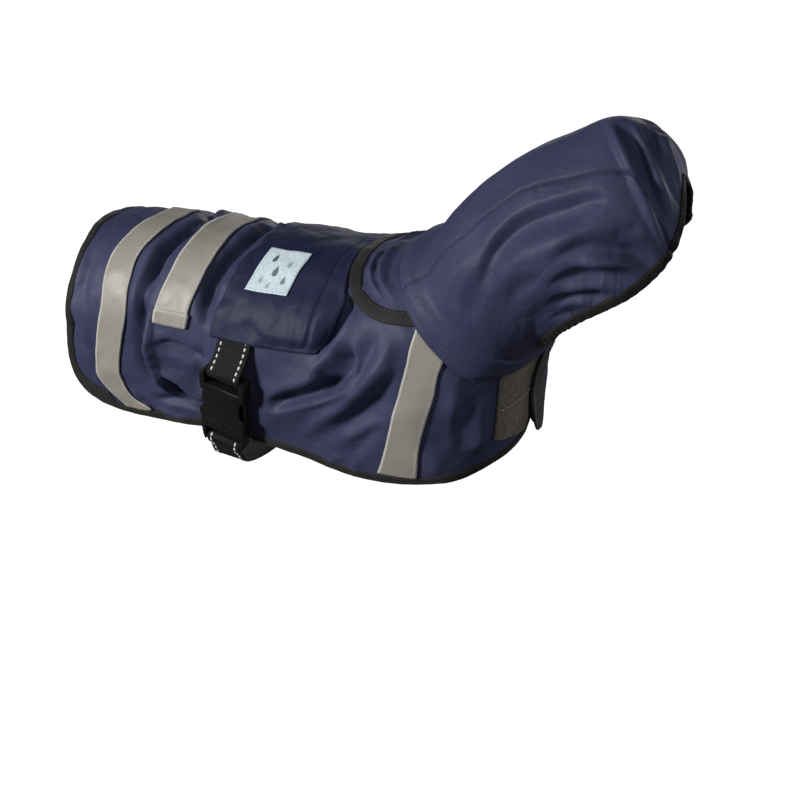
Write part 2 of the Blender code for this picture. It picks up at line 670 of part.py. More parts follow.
def in_buckle(y, z):
    return MIDDLE + UP * y + OUT * z


def loop_points(bar_y, toward):
    """Half turn of webbing round a bar, from the front to the back. toward is +1 if it opens up."""
    turn = np.linspace(0, np.pi, 9)
    return [in_buckle(bar_y - toward * LOOP * np.sin(t), LOOP * np.cos(t)) for t in turn]


def band(name, middle, across, surface):
    """A strap along a line of points: flat webbing with its width along `across`."""
    middle, across = np.array(middle), unit(np.array(across))
    way = unit(np.gradient(middle, axis=0))
    across = unit(across - way * (across * way).sum(-1, keepdims=True))
    out = np.cross(across, way)
    out = out * np.sign((out * away_from_body(middle)).sum(-1).mean())
    sides = WEBBING_WIDTH * span(-0.5, 0.5, 3)
    grid = middle[:, None] + across[:, None] * sides[None, :, None]
    half = out[:, None] * WEBBING / 2
    return slab(name, grid - half, grid + half, surface)


def away_from_body(points):
    """Direction away from the middle of the body."""
    return unit(points - np.array([-25.0, 0.0, -70.0]))


def belt_across(w):
    return BODY.at(belt_middle(w) + 5, w) - BODY.at(belt_middle(w) - 5, w)


STRAP_LIFT = LYING + WEBBING / 2
BELT_HEAD = 68.0        # w of the webbing's sewn ends, under the saddle
BELT_LEAVES = 150.0     # w where the left half swings clear of the coat
# How the right half climbs from the coat to the buckle.
CLIMB = columns("w lift", [[84, 0], [88, 0.2], [92, 0.7], [96, 1.75]])


def strap_right(surface):
    middle, across = [], []
    for w in span(BELT_HEAD, CLIMB["w"][-1], 8):
        middle.append(BODY.at(belt_middle(w), w, STRAP_LIFT + smooth(w, CLIMB["w"], CLIMB["lift"])))
        across.append(belt_across(w))
    ends = [in_buckle(SOCKET_BAR_Y + 4.0, LOOP * 0.72)] + loop_points(SOCKET_BAR_Y, 1)
    ends += [in_buckle(SOCKET_BAR_Y + 3.5, -LOOP - 0.1)]
    middle += ends
    across += [ACROSS] * len(ends)
    return band("strap_right", middle, across, surface)


BELLY_DROP = 158.0      # the belt's lowest point below the origin
BELLY_SWINGS = np.radians(span(12, 158, 15))    # turn of the belly stretch at each of its points


def strap_left(surface):
    """From under the saddle's left edge, down the left side, under the belly to the plug."""
    middle, across = [], []
    for w in span(-BELT_HEAD, -BELT_LEAVES, 14):
        middle.append(BODY.at(belt_middle(w), w, STRAP_LIFT + 0.5 * ease((30 - BELT_LEAVES - w) / 30)))
        across.append(belt_across(w))
    start = middle[-1]
    last = in_buckle(PLUG_BAR_Y - 7.5, -0.6)
    for turn in BELLY_SWINGS:
        share = turn / np.pi
        level = start * (1 - share) + last * share
        y = (start[1] + last[1]) / 2 + (start[1] - last[1]) / 2 * np.cos(turn)
        z = level[2] - (BELLY_DROP + level[2]) * np.sin(turn) ** 0.75
        middle.append(np.array([level[0], y, z]))
        across.append(np.array([1.0, 0.0, 0.0]))
    ends = [last, in_buckle(PLUG_BAR_Y - 4.0, LOOP * 0.72)] + loop_points(PLUG_BAR_Y, -1)
    ends += [in_buckle(PLUG_BAR_Y - 3.2, -LOOP - 0.1)]
    middle += ends
    across += [ACROSS] * len(ends)
    return band("strap_left", middle, across, surface)


def block(name, x, y, z, rounding, surface=None):
    """Box with rounded edges in the buckle's own axes, from pairs of limits."""
    body = bmesh.new()
    bmesh.ops.create_cube(body, size=1.0)
    for v in body.verts:
        for k, (low, high) in enumerate((x, y, z)):
            v.co[k] = (low if v.co[k] < 0 else high) * MM
    if rounding:
        bmesh.ops.bevel(body, geom=list(body.edges), offset=rounding * MM, segments=1, affect="EDGES")
    mesh = bpy.data.meshes.new(name)
    body.to_mesh(mesh)
    body.free()
    made = bpy.data.objects.new(name, mesh)
    bpy.context.scene.collection.objects.link(made)
    made.matrix_world = Matrix([[*row] for row in np.stack([
        np.append(ACROSS, 0), np.append(UP, 0), np.append(OUT, 0), np.append(MIDDLE * MM, 1)], 1)])
    if surface:
        mesh.materials.append(surface)
    else:
        made.hide_render = True
        made.display_type = "WIRE"
    return made


def combine(target, other, operation):
    step = target.modifiers.new(operation.lower() + "_" + other.name, "BOOLEAN")
    step.operation = operation
    step.object = other
    step.solver = "EXACT"


def buckle(surface):
    half = BUCKLE_WIDTH / 2
    deep = SOCKET_THICK / 2
    socket = block("buckle_socket", (-half, half), (SOCKET_END, SOCKET_TOP), (-deep, deep), 1.6, surface)
    slot_top = SOCKET_BAR_Y - BAR / 2
    cuts = [
        ("socket_slot", (-13.4, 13.4), (16.5, slot_top), (-9, 9)),
        ("socket_bar_front", (-13.4, 13.4), (slot_top - 1, SOCKET_TOP + 3), (BAR / 2, 9)),
        ("socket_bar_back", (-13.4, 13.4), (slot_top - 1, SOCKET_TOP + 3), (-9, -BAR / 2)),
        ("socket_bar_top", (-13.4, 13.4), (SOCKET_BAR_Y + BAR / 2, SOCKET_TOP + 3), (-9, 9)),
        ("socket_cavity", (-14.2, 14.2), (SOCKET_END - 3, 12.5), (-2.6, 2.6)),
        ("socket_window_right", (11.0, 20.0), (-4.0, 9.5), (-2.6, 2.6)),
        ("socket_window_left", (-20.0, -11.0), (-4.0, 9.5), (-2.6, 2.6)),
    ]
    for name, x, y, z in cuts:
        combine(socket, block(name, x, y, z, 0), "DIFFERENCE")
    deep = PLUG_THICK / 2
    plug = block("buckle_plug", (-half, half), (PLUG_END, SOCKET_END - SEAM), (-deep, deep), 1.5, surface)
    prong_parts = [
        ("plug_prong_right", (9.2, 12.9), (SOCKET_END - 2, 5.0), (-2.1, 2.1)),
        ("plug_prong_left", (-12.9, -9.2), (SOCKET_END - 2, 5.0), (-2.1, 2.1)),
        ("plug_button_right", (10.4, 16.2), (-1.5, 7.5), (-1.8, 1.8)),
        ("plug_button_left", (-16.2, -10.4), (-1.5, 7.5), (-1.8, 1.8)),
        ("plug_guide", (-2.2, 2.2), (SOCKET_END - 2, 8.0), (-1.8, 1.8)),
    ]
    for name, x, y, z in prong_parts:
        combine(plug, block(name, x, y, z, 0.5), "UNION")
    slot_low = PLUG_BAR_Y + BAR / 2
    for name, x, y, z in [
            ("plug_slot", (-13.4, 13.4), (slot_low, -20.5), (-9, 9)),
            ("plug_bar_front", (-13.4, 13.4), (PLUG_END - 3, slot_low + 1), (BAR / 2, 9)),
            ("plug_bar_back", (-13.4, 13.4), (PLUG_END - 3, slot_low + 1), (-9, -BAR / 2)),
            ("plug_bar_low", (-13.4, 13.4), (PLUG_END - 3, PLUG_BAR_Y - BAR / 2), (-9, 9))]:
        combine(plug, block(name, x, y, z, 0), "DIFFERENCE")


def build():
    for old in list(bpy.data.objects):
        bpy.data.objects.remove(old, do_unlink=True)
    nylon = material("navy_nylon", (0.045, 0.045, 0.10), 0.42)
    black = material("black_trim", (0.012, 0.012, 0.012), 0.7)
    tape = material("grey_tape", (0.32, 0.30, 0.24), 0.45)
    label = material("pale_label", (0.62, 0.70, 0.74), 0.7)
    plastic = material("black_plastic", (0.012, 0.012, 0.013), 0.35)
    body_panel(nylon)
    hem_binding(black)
    saddle_panel(nylon)
    label_patch(label)
    rear_tape(tape)
    short_tape(tape)
    front_tape("front_tape_right", 1, tape)
    front_tape("front_tape_left", -1, tape)
    nape_flap(nylon)
    nape_flap_binding(black)
    loop_patch(black)
    front_tab(black)
    hood(nylon)
    face_binding(black)
    strap_right(black)
    strap_left(black)
    buckle(plastic)


build()
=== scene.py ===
"""A dog raincoat shown as it is worn, with its hood up and its belt fastened. Sizes are in
millimetres until a mesh is made; +X is the way the dog faces, +Z is up."""
import bpy
import bmesh
import numpy as np
from mathutils import Matrix, Vector


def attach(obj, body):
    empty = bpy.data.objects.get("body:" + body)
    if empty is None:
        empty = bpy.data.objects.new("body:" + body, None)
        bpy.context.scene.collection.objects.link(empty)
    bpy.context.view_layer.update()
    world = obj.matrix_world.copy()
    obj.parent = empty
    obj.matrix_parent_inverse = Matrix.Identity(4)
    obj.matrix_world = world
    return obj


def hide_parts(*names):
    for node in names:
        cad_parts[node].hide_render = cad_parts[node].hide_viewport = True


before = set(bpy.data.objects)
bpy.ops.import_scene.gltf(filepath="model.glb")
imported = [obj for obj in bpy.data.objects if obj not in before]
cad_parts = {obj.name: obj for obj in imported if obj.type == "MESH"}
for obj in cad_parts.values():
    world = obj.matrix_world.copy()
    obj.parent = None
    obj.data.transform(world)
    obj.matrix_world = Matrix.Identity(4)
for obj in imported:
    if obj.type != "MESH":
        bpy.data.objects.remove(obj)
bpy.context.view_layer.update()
MM = 0.001

# ---------------------------------------------------------------- studio
# A plain pale floor lies below the coat. One strong soft light stands above the tail, and four
# weaker ones fill the sides and the face. The camera looks down from off the right shoulder.
AIM = Vector((0.0774, -0.0201, -0.0847))
CAMERA_BACK = Vector((0.4070, -0.7222, 0.5592))
CAMERA_RIGHT = Vector((0.8712, 0.4909, 0.0))
CAMERA_UP = CAMERA_BACK.cross(CAMERA_RIGHT)
CAMERA_AWAY, FOCAL_LENGTH = 1.5, 105.4
FLOOR_REACH, FLOOR_LEVEL = 6, -0.26
SKY_SEEN, SKY_LIGHT = 0.95, 0.035
LIGHTS = [      # metres to the camera's right, up and back, then size and watts
    ("window_light", -1.9, 0.3, 0.9, 0.45, 50), ("front_light", 0.3, 0.6, 1.9, 1.4, 7.0),
    ("low_light", 1.3, -0.4, 1.3, 1.2, 5.5), ("far_light", 0.5, 1.2, -1.7, 1.4, 9.0),
    ("face_light", 1.9, 0.5, -0.9, 1.3, 17.0)]


def add_object(name, data):
    made = bpy.data.objects.new(name, data)
    bpy.context.scene.collection.objects.link(made)
    return made


lens = bpy.data.cameras.new("camera")
lens.lens, lens.sensor_width, lens.clip_end = FOCAL_LENGTH, 36, 50
camera = add_object("camera", lens)
camera.matrix_world = Matrix.Translation(AIM + CAMERA_AWAY * CAMERA_BACK) @ Matrix(
    (CAMERA_RIGHT, CAMERA_UP, CAMERA_BACK)).transposed().to_4x4()
bpy.context.scene.camera = camera
for name, right, up, back, size, watts in LIGHTS:
    lamp = bpy.data.lights.new(name, "AREA")
    lamp.shape, lamp.size, lamp.energy = "DISK", size, watts
    place = AIM + right * CAMERA_RIGHT + up * CAMERA_UP + back * CAMERA_BACK
    made = add_object(name, lamp)
    made.location = place
    made.rotation_euler = (AIM - place).to_track_quat("-Z", "Y").to_euler()

world = bpy.data.worlds.new("studio")
world.use_nodes = True
sky = world.node_tree.nodes["Background"].inputs
sky["Color"].default_value = (1, 1, 1, 1)
dim = world.node_tree.nodes.new("ShaderNodeMath")
dim.operation = "MULTIPLY_ADD"
dim.inputs[1].default_value, dim.inputs[2].default_value = SKY_SEEN, SKY_LIGHT
seen_by = world.node_tree.nodes.new("ShaderNodeLightPath")
world.node_tree.links.new(seen_by.outputs["Is Camera Ray"], dim.inputs[0])
world.node_tree.links.new(dim.outputs[0], sky["Strength"])
bpy.context.scene.world = world
bpy.context.scene.view_settings.view_transform = "Standard"

floor_mesh = bpy.data.meshes.new("floor")
floor_mesh.from_pydata([(x * FLOOR_REACH, y * FLOOR_REACH, FLOOR_LEVEL)
                        for x, y in ((-1, -1), (1, -1), (1, 1), (-1, 1))], [], [(0, 1, 2, 3)])
pale = bpy.data.materials.new("pale_floor")
pale.use_nodes = True
for title, value in (("Base Color", (0.35, 0.35, 0.35, 1)), ("Roughness", 0.8),
                     ("Emission Color", (1, 1, 1, 1)), ("Emission Strength", 0.92)):
    pale.node_tree.nodes["Principled BSDF"].inputs[title].default_value = value
floor_mesh.materials.append(pale)
floor = add_object("floor", floor_mesh)
floor.visible_diffuse = floor.visible_glossy = False

# ---------------------------------------------------------------- body of the coat
# The body is one layer of proofed navy nylon, cut to lie over the back and down both sides. It
# hangs in soft pulled folds between the belt, the saddle, the tapes and the chest.
CREST = 0.18            # how rounded the top of a ridge is
CREASE_END = 0.32       # share of a crease's line over which it rises and dies away
BELLY = 1 / 1.2         # below 1, a ring's lower half is fuller than an ellipse


def numbers(text):
    """Rows of numbers, written with a comma between rows."""
    return np.array([row.split() for row in text.split(",")], float)


def columns(names, text):
    """Such rows as {column name: values down the rows}."""
    return dict(zip(names.split(), numbers(text).T))


def smooth(x, xs, ys):
    """Smooth curve through (xs, ys) that never overshoots its points."""
    xs, ys = np.asarray(xs, float), np.asarray(ys, float)
    step = np.diff(xs)
    rise = np.diff(ys) / step
    slope = np.zeros(len(xs))
    slope[0], slope[-1] = rise[0], rise[-1]
    for i in range(1, len(xs) - 1):
        if rise[i - 1] * rise[i] > 0:
            before, after = 2 * step[i] + step[i - 1], step[i] + 2 * step[i - 1]
            slope[i] = (before + after) / (before / rise[i - 1] + after / rise[i])
    x = np.clip(x, xs[0], xs[-1])
    i = np.clip(np.searchsorted(xs, x) - 1, 0, len(step) - 1)
    t = (x - xs[i]) / step[i]
    return ((1 + 2 * t) * (1 - t) ** 2 * ys[i] + t * (1 - t) ** 2 * step[i] * slope[i]
            + t * t * (3 - 2 * t) * ys[i + 1] + t * t * (t - 1) * step[i] * slope[i + 1])


def follow(x, table, column):
    """A column of a table, read smoothly at values x of its first column."""
    return smooth(x, next(iter(table.values())), table[column])


def ease(x):
    x = np.clip(x, 0, 1)
    return x * x * (3 - 2 * x)


def unit(v):
    return v / np.linalg.norm(v, axis=-1, keepdims=True)


def pair(p, q):
    """Two coordinates as points."""
    return np.stack(np.broadcast_arrays(p, q), -1)


def run_along(points):
    """Distance along a line of points."""
    return np.concatenate([[0], np.cumsum(np.linalg.norm(np.diff(points, axis=0), axis=1))])


def through(points, count, run=None, read=smooth):
    """Evenly spaced points on a line through the given ones; run is their distance along it."""
    run = run_along(points) if run is None else run
    t = np.linspace(0, run[-1], count)
    return np.stack([read(t, run, column) for column in points.T], -1)


def evened(path, span):
    """A path with a running mean over span points, but for its ends."""
    half = span // 2
    for column in path.T:
        column[half:-half] = np.convolve(column, np.ones(span) / span, "valid")
    return path


def spread(first, last, share):
    """Grid of points from one path to another, at shares of the way across."""
    return first[:, None] * (1 - share[:, None]) + last[:, None] * share[:, None]


def ring_half(x, z, tilt, half_width, crown, depth, point=1.0, bow=0.0):
    """Right half of a ring round the body, from the spine down to its lowest point."""
    turn = np.linspace(0, np.pi / 2, 60)
    low = turn[1:]
    out, down = np.concatenate([
        [half_width * np.sin(turn) ** point, crown * (1 - np.cos(turn) ** point)],
        [half_width * np.cos(low) ** BELLY, crown + (depth - crown) * np.sin(low) ** BELLY]], 1)
    swing = np.radians(tilt)
    forward = bow * np.sin(np.pi * np.clip(down / depth, 0, 1) ** 0.45) ** 2
    return np.stack([x + down * np.sin(swing) + forward * np.cos(swing), -out,
                     z - down * np.cos(swing) + forward * np.sin(swing)], -1)


class Sheet:
    """Cloth kept as a fine net of points over two coordinates p and q, with its outward side."""

    def __init__(self, p, q, net):
        self.p, self.q, self.net = p, q, net
        self.out = unit(np.cross(np.gradient(net, q, axis=1), np.gradient(net, p, axis=0)))

    def raised(self, height):
        return Sheet(self.p, self.q, self.net + self.out * height[..., None])

    def read(self, field, p, q):
        p, q = np.broadcast_arrays(np.asarray(p, float), np.asarray(q, float))
        i = np.clip((p - self.p[0]) / (self.p[1] - self.p[0]), 0, len(self.p) - 1.0001)
        j = np.clip((q - self.q[0]) / (self.q[1] - self.q[0]), 0, len(self.q) - 1.0001)
        i0, j0 = i.astype(int), j.astype(int)
        fi, fj = (i - i0)[..., None], (j - j0)[..., None]
        return ((1 - fi) * (1 - fj) * field[i0, j0] + fi * (1 - fj) * field[i0 + 1, j0]
                + (1 - fi) * fj * field[i0, j0 + 1] + fi * fj * field[i0 + 1, j0 + 1])

    def at(self, p, q, lift=0.0):
        out = unit(self.read(self.out, p, q))
        return self.read(self.net, p, q) + out * np.asarray(lift, float)[..., None]

    def inset(self, path, distance):
        """A path of (p, q) pairs moved sideways on the sheet, to the left of its run."""
        slopes = []
        for step in np.diag([self.p[1] - self.p[0], self.q[1] - self.q[0]]) / 2:
            ahead, behind = (self.read(self.net, *(path + way).T) for way in (step, -step))
            slopes.append((ahead - behind) / (2 * step.sum()))
        along = np.gradient(path, axis=0)
        along = unit(slopes[0] * along[:, :1] + slopes[1] * along[:, 1:])
        side = unit(np.cross(unit(self.read(self.out, *path.T)), along))
        return np.array([spot + np.linalg.lstsq(np.stack([dp, dq], 1), way * distance, rcond=None)[0]
                         for spot, dp, dq, way in zip(path, *slopes, side)])


def creased(p, q, table):
    """Height of creases laid along given lines: narrow ridges, and rounder troughs where it is
    negative.

    A row is the height, the breadth behind and before, and the points of the line it runs along.
    """
    p, q = np.broadcast_arrays(np.asarray(p, float), np.asarray(q, float))
    total = np.zeros(p.shape)
    for row in table.strip().splitlines():
        sizes, line = row.split(":")
        height, behind, before = map(float, sizes.split())
        line = numbers(line)
        knots = through(line, 5 * len(line))
        run = run_along(knots)
        reach = max(behind, before)
        (p0, q0), (p1, q1) = knots.min(0) - reach, knots.max(0) + reach
        near = (p > p0) & (p < p1) & (q > q0) & (q < q1)
        pp, qq = p[near], q[near]
        best, side, along = np.full(pp.shape, np.inf), np.zeros(pp.shape), np.zeros(pp.shape)
        for a, b, start in zip(knots, knots[1:], run):
            way = b - a
            length = np.hypot(*way)
            u = np.clip(((pp - a[0]) * way[0] + (qq - a[1]) * way[1]) / length ** 2, 0, 1)
            dp, dq = pp - a[0] - u * way[0], qq - a[1] - u * way[1]
            away = np.hypot(dp, dq)
            closer = away < best
            best = np.where(closer, away, best)
            side = np.where(closer, way[1] * dp - way[0] * dq, side)
            along = np.where(closer, start + u * length, along)
        share = along / run[-1]
        ends = ease(share / CREASE_END) * ease((1 - share) / CREASE_END)
        breadth = np.where(side > 0, before, behind) * (0.7 + 0.3 * ends)
        away = np.clip(best / breadth, 0, 1)
        ridge = (1 - (np.hypot(away, CREST) - CREST) / (np.hypot(1, CREST) - CREST)) ** 1.7
        total[near] += height * ends * (ridge if height > 0 else np.cos(np.pi / 2 * away) ** 2)
    return total


def slack(p, q, size, height):
    """Small uneven waves of unpressed cloth of about a size, in the units of p and q."""
    total = 0.0
    for turn, stretch, shift in ((0.3, 1.0, 0.4), (1.25, 1.37, 2.1), (2.05, 0.81, 4.0),
                                 (2.7, 1.83, 1.0), (0.85, 2.3, 5.2), (1.7, 2.9, 3.3)):
        across = (q * np.cos(turn) - p * np.sin(turn)) / (2.3 * size)
        along = (p * np.cos(turn) + q * np.sin(turn)) / size
        bend = 1.4 * np.sin(2 * np.pi * across + 2 * shift)
        total = total + np.sin(2 * np.pi * stretch * along + shift + bend) / stretch
    return height * total / 2.6


BARREL = columns("spine_x spine_z tilt half_width crown depth", """
    -162 -23.4 -3 54 50 190, -110 -10.4 -2 61 56 177, -50 -3.4 0 62 58 179, 0 0.6 8 64 60 197,
    28 3.6 20 67 62 205, 52 8.6 33 67 60 185, 60 10.6 38 66 57 153, 66 12.4 42 64 54 139.4,
    70 13.8 45.5 62 52 127, 74 15.5 50 60 51 113, 79 17.6 56 56 50 102, 84 20 64.6 52 48 94.6""")
SPINE_RUN = run_along(pair(BARREL["spine_x"], BARREL["spine_z"]))
NECK = SPINE_RUN[-1]
REACH = 275.0           # how far the net runs round from the spine, past the chest's middle
# Broad folds: from (s0, w0) to (s1, w1), half the breadth, and the height.
FOLDS = columns("s0 w0 s1 w1 breadth height", """
    152 138 214 92 14 2.6, 172 151 218 112 13 -2.2, 192 88 214 52 11 -1.6, 74 88 88 132 12 1.8,
    70 64 81 14 11 -1.5, 120 22 118 66 11 -1.5, 18 76 24 130 11 1.4, 154 -128 212 -100 14 2.4,
    170 -149 218 -120 13 -2, 72 -86 90 -128 12 1.8, 69 -56 80 -12 11 -1.5, 119 -20 120 -68 11 -1.5,
    20 -70 25 -126 11 1.4""")
# Creases of the right side, on lines of (s, w).
RIGHT_CREASES = """
    1.7 6 5: 9 28, 12 44, 13 60, 12 74
    -1.8 5 5: 20 34, 20 52, 22 68, 26 82
    2.2 6 5: 9 62, 15 78, 21 90, 27 102, 31 116
    -1.9 5 5: 10 82, 16 98, 22 110, 26 124
    1.4 5 6: 27 16, 25 34, 28 54
    1.5 5 5: 29 58, 31 76, 31 94
    -7.5 6 9: 82 -12, 79 6, 75.5 22, 72 38, 71.5 54, 74 70
    4 9 3.5: 72 14, 68 30, 65.5 46, 66 62, 68 80, 72 98
    1.6 3.5 4: 83 14, 79 30, 77.5 44, 79 58
    -6 12 5: 71 58, 73.5 80, 75 94, 77 106, 80 116, 83 126, 86 136
    5.5 7 3.5: 78 70, 79.5 87, 81 98, 83.5 107, 86.5 115, 89.5 123, 91.5 131, 93 143
    4.5 8 26: 78 82, 80 94, 83 106, 86.5 115, 89.5 123, 91.5 131, 93 142
    -5 10 4: 83 102, 87 97, 93 95, 102 96.5, 111 100, 119 107
    -3.5 12 6: 120 90, 118.5 102, 118 114, 118 127
    5 3 8: 84 114, 93 118, 100 121, 105 125, 110 130, 117 134, 127 140
    -9 10 7: 90 119, 95 126, 100 131.5, 107 136, 116 140, 128 145
    -4 5 8: 74 145, 84 144.5, 95 143, 106 143, 118 147, 130 152
    -2.4 4 4: 64 144, 71 151, 77 156, 86 161
    1.8 5 5: 76 152, 84 154, 94 156.5, 106 159
    -8 6 11: 128 -8, 124 10, 120.5 24, 117 38, 115.5 52, 117 66, 124 86
    -5.5 13 6: 128 -70, 126 -44, 126 -24, 126.5 -8, 125 8, 122 24
    -5.5 7 11: 122 -84, 118 -68, 117 -54, 119 -38, 123 -22
    1.6 5 5: 132 4, 126.5 20, 124 36, 124 50, 126 66
    -2.2 4 5: 138 8, 131 24, 128 40
    3.6 15 4: 197 82, 191 91, 188.5 97, 181 103, 173 107, 164 115, 154 124
    -11 16 4: 213 72, 209 86, 205.5 95, 201 101, 195 106, 186 111
    -8.5 10 5: 203 96, 193 106, 184 111.5, 175 116.5, 167 122, 157 130
    3.5 3.5 4: 214 79, 211 89.5, 207.5 96, 202.5 102, 195.5 108.5, 189 112.5, 180 118, 170 126
    -4 9 4: 230 62, 225 74, 219 84, 214 92, 209 100, 203 108
    5.5 7 9: 242 62, 234 76, 228 85, 220.5 94, 213.5 100.5, 206 108, 198 116.5, 190 124, 183 132,\
        177 141, 170 152
    -3 5 14: 240 80, 232 92, 224 102, 214 112, 204 121, 195 130, 187 142
    1.8 4 5: 189 145, 197 138, 204 132, 212 125
    -2.2 7 5: 212 130, 204 138, 197 147, 191 157
    1.3 3 3: 180 167, 184 160, 188 154
    1.5 3 3: 189.5 173, 191.5 164, 193.5 156
    -5.6 5 6: 217 34, 213 46, 208 58, 202 67, 196 75, 189 84
    3.6 5 9: 217 44, 211.5 60, 206 70, 200 80, 194 87, 184 94
    3.4 5 3.5: 245 98, 239.5 117, 235.5 131, 231 146
    3.8 5 3.5: 242 128, 237 146, 233 160, 228 177
    -2 5 5: 240 122, 236.5 138, 232 152, 226 168
    -1.8 6 6: 229 124, 225 144, 219 164
    1.8 5 5: 223 148, 219 163, 214 178"""
# Creases of the left side: the same pulls of the belt and the chest, in their own places.
LEFT_CREASES = """
    -4.2 8 8.8: 83 4, 79 -10, 72 -22, 70 -38, 72 -58
    2.2 6.9 5.5: 80 -16, 78 -33, 79 -50
    3.7 9.2 8.8: 72 -58, 75 -78, 80 -96, 84 -112, 94 -138
    2.6 6.9 6.6: 78 -90, 92 -87, 108 -91, 126 -98
    -3.9 6.9 6.6: 84 -98, 98 -95, 112 -98, 125 -106
    2.9 5.8 6.6: 86 -113, 100 -118, 112 -127, 120 -136
    -3.9 8 6.6: 90 -128, 98 -135, 108 -145
    -3.9 9.2 7.7: 67 -88, 68 -108, 70 -128, 78 -148
    1.8 6.9 5.5: 14 -60, 24 -76, 30 -92
    1.6 5.8 5.5: 12 -98, 22 -110, 30 -124
    -1.4 5.8 6.6: 16 -82, 24 -96, 28 -108
    2.4 5.8 6.6: 114 -12, 127 -18, 138 -12
    -2.1 5.8 5.5: 133 -16, 130 -32, 131 -46
    4.2 13.8 14.3: 154 -92, 166 -100, 178 -104, 186 -96
    -5.6 9.2 6.6: 152 -130, 166 -122, 178 -111, 190 -98, 204 -86, 214 -80
    2.2 6.9 6.6: 150 -139, 170 -131, 186 -119, 200 -104, 212 -92
    -2.7 5.8 6.6: 170 -143, 188 -128, 202 -112
    4.9 9.2 8.8: 188 -128, 200 -117, 212 -103, 224 -90, 234 -76, 241 -66
    -3 6.9 6.6: 206 -118, 220 -104, 230 -90, 240 -76
    2.1 5.8 5.5: 152 -151, 168 -147, 184 -137, 198 -124
    -1.9 5.8 5.5: 174 -154, 192 -138, 208 -122
    2.7 5.8 6.6: 240 -112, 238 -130, 234 -148, 229 -168
    -2.4 5.8 5.5: 234 -124, 231 -142, 226 -160
    2.4 6.9 6.6: 219 -58, 208 -74, 200 -90
    -2.6 6.9 5.5: 224 -64, 214 -78, 206 -92
    -1.8 5.8 5.5: 38 -126, 52 -134, 64 -146
    1.4 5.8 5.5: 96 -148, 110 -153, 126 -154"""
# The front tapes keep the cloth under them flat. This is the middle of each.
FRONT_TAPE = columns("w s", "66 248.5, 84 244, 107 233, 137 218, 170 205")
# How far the cloth sinks between the dog's hips and shoulders, either side of the spine.
SAG = columns("s depth", """
    0 3, 24 3, 36 4.8, 52 5.2, 64 4, 74 1.8, 84 2.6, 94 4.6, 104 4.6, 112 2.4, 120 0.6, 128 1.2,
    140 2.2, 160 1, 180 2, 200 1, 214 0, 252 0""")


def body_net(with_creases):
    """The coat's sheet over s along the spine and w round from it, and the length of each ring."""
    stations = np.linspace(0, NECK, 254)
    around = np.linspace(-REACH, REACH, 551)
    net, lengths = [], []
    for values in zip(*(smooth(stations, SPINE_RUN, column) for column in BARREL.values())):
        right = ring_half(*values)
        run = run_along(right)
        w = (around + run[-1]) % (2 * run[-1]) - run[-1]
        point = np.stack([np.interp(np.abs(w), run, column) for column in right.T], -1)
        point[:, 1] *= np.where(w < 0, -1, 1)
        net.append(point)
        lengths.append(run[-1])
    s, w = stations[:, None], around[None, :]
    height = -follow(s, SAG, "depth") * ease((80 + w) / 45) * ease((34 - w) / 50)
    for s0, w0, s1, w1, breadth, rise in zip(*FOLDS.values()):
        length = np.hypot(s1 - s0, w1 - w0)
        along = ((s - s0) * (s1 - s0) + (w - w0) * (w1 - w0)) / length ** 2
        beside = ((s - s0) * (w1 - w0) - (w - w0) * (s1 - s0)) / length
        beside = beside - 0.06 * length * np.sin(np.pi * np.clip(along, 0, 1))
        ends = ease((along + 0.25) / 0.45) * ease((1.25 - along) / 0.45)
        height = height + rise * ends * np.cos(np.pi / 2 * np.clip(beside / breadth, -1, 1)) ** 2
    if with_creases:
        pressed = 0.85 * ease((w - 78) / 12) * ease((21 - np.abs(s - 140)) / 7)
        held = ease((15 - np.abs(s - follow(np.abs(w), FRONT_TAPE, "s"))) / 6)
        loose = (1 - pressed) * (1 - 0.7 * held * ease((np.abs(w) - 62) / 6))
        height = height + loose * (creased(s, w, RIGHT_CREASES) + creased(s, w, LEFT_CREASES)
                                   + slack(s, w, 46, 0.45) + slack(w, s, 19, 0.2))
    return Sheet(stations, around, np.array(net)).raised(height), np.array(lengths)


BODY, RING_LENGTHS = body_net(True)
CLOTH = 1.2             # wall of the coat and the hood
TOP = CLOTH / 2
LYING = TOP + 0.6       # lift of a piece that lies on the coat
HEM_WIDTH = 6.6         # the binding that closes the cut edge
CLOTH_BACK = 1.6        # how far the cloth stops short of its binding's fold
SEAM = 0.4              # room between two pieces that meet
FRONT_GAP = 0.5         # from the middle of the chest to a front's edge


def front_line(s):
    """w of the right front's edge, just short of the middle of the chest."""
    return np.interp(s, BODY.p, RING_LENGTHS) - FRONT_GAP


CUT_EDGE = numbers("""
    0 0, 0.9 12, 4.2 30, 6 56, 5.6 84, 6.2 113, 9.5 130, 18 147, 37 160, 63 165, 87 164, 112 160.5,
    130 159, 150 159, 169.5 162, 188 171, 204.5 177.5, 219 183, 226 193.5, 230 203""")
FRONT_EDGE = columns("s back", f"231.6 6.5, 233.2 2, 235.6 0.3, 239 0, 243 0, 248 0, {NECK} 0")
knots = np.concatenate([CUT_EDGE, pair(
    FRONT_EDGE["s"], front_line(FRONT_EDGE["s"]) - FRONT_EDGE["back"])])
EDGE = through(knots, 1500, run_along(BODY.at(*knots.T)))
EDGE_RUN = run_along(BODY.at(*EDGE.T))
REAR_CORNER = EDGE_RUN[np.argmin(np.abs(EDGE[:, 0] - 20) + (EDGE[:, 1] < 100) * 1e3)]
SIDE_CUTS, HEM_CUTS = 106, 190      # steps along the rear edge and along hem and front
STATIONS = np.concatenate([np.linspace(0, REAR_CORNER, SIDE_CUTS + 1),
                           np.linspace(REAR_CORNER, EDGE_RUN[-1], HEM_CUTS + 1)[1:]])


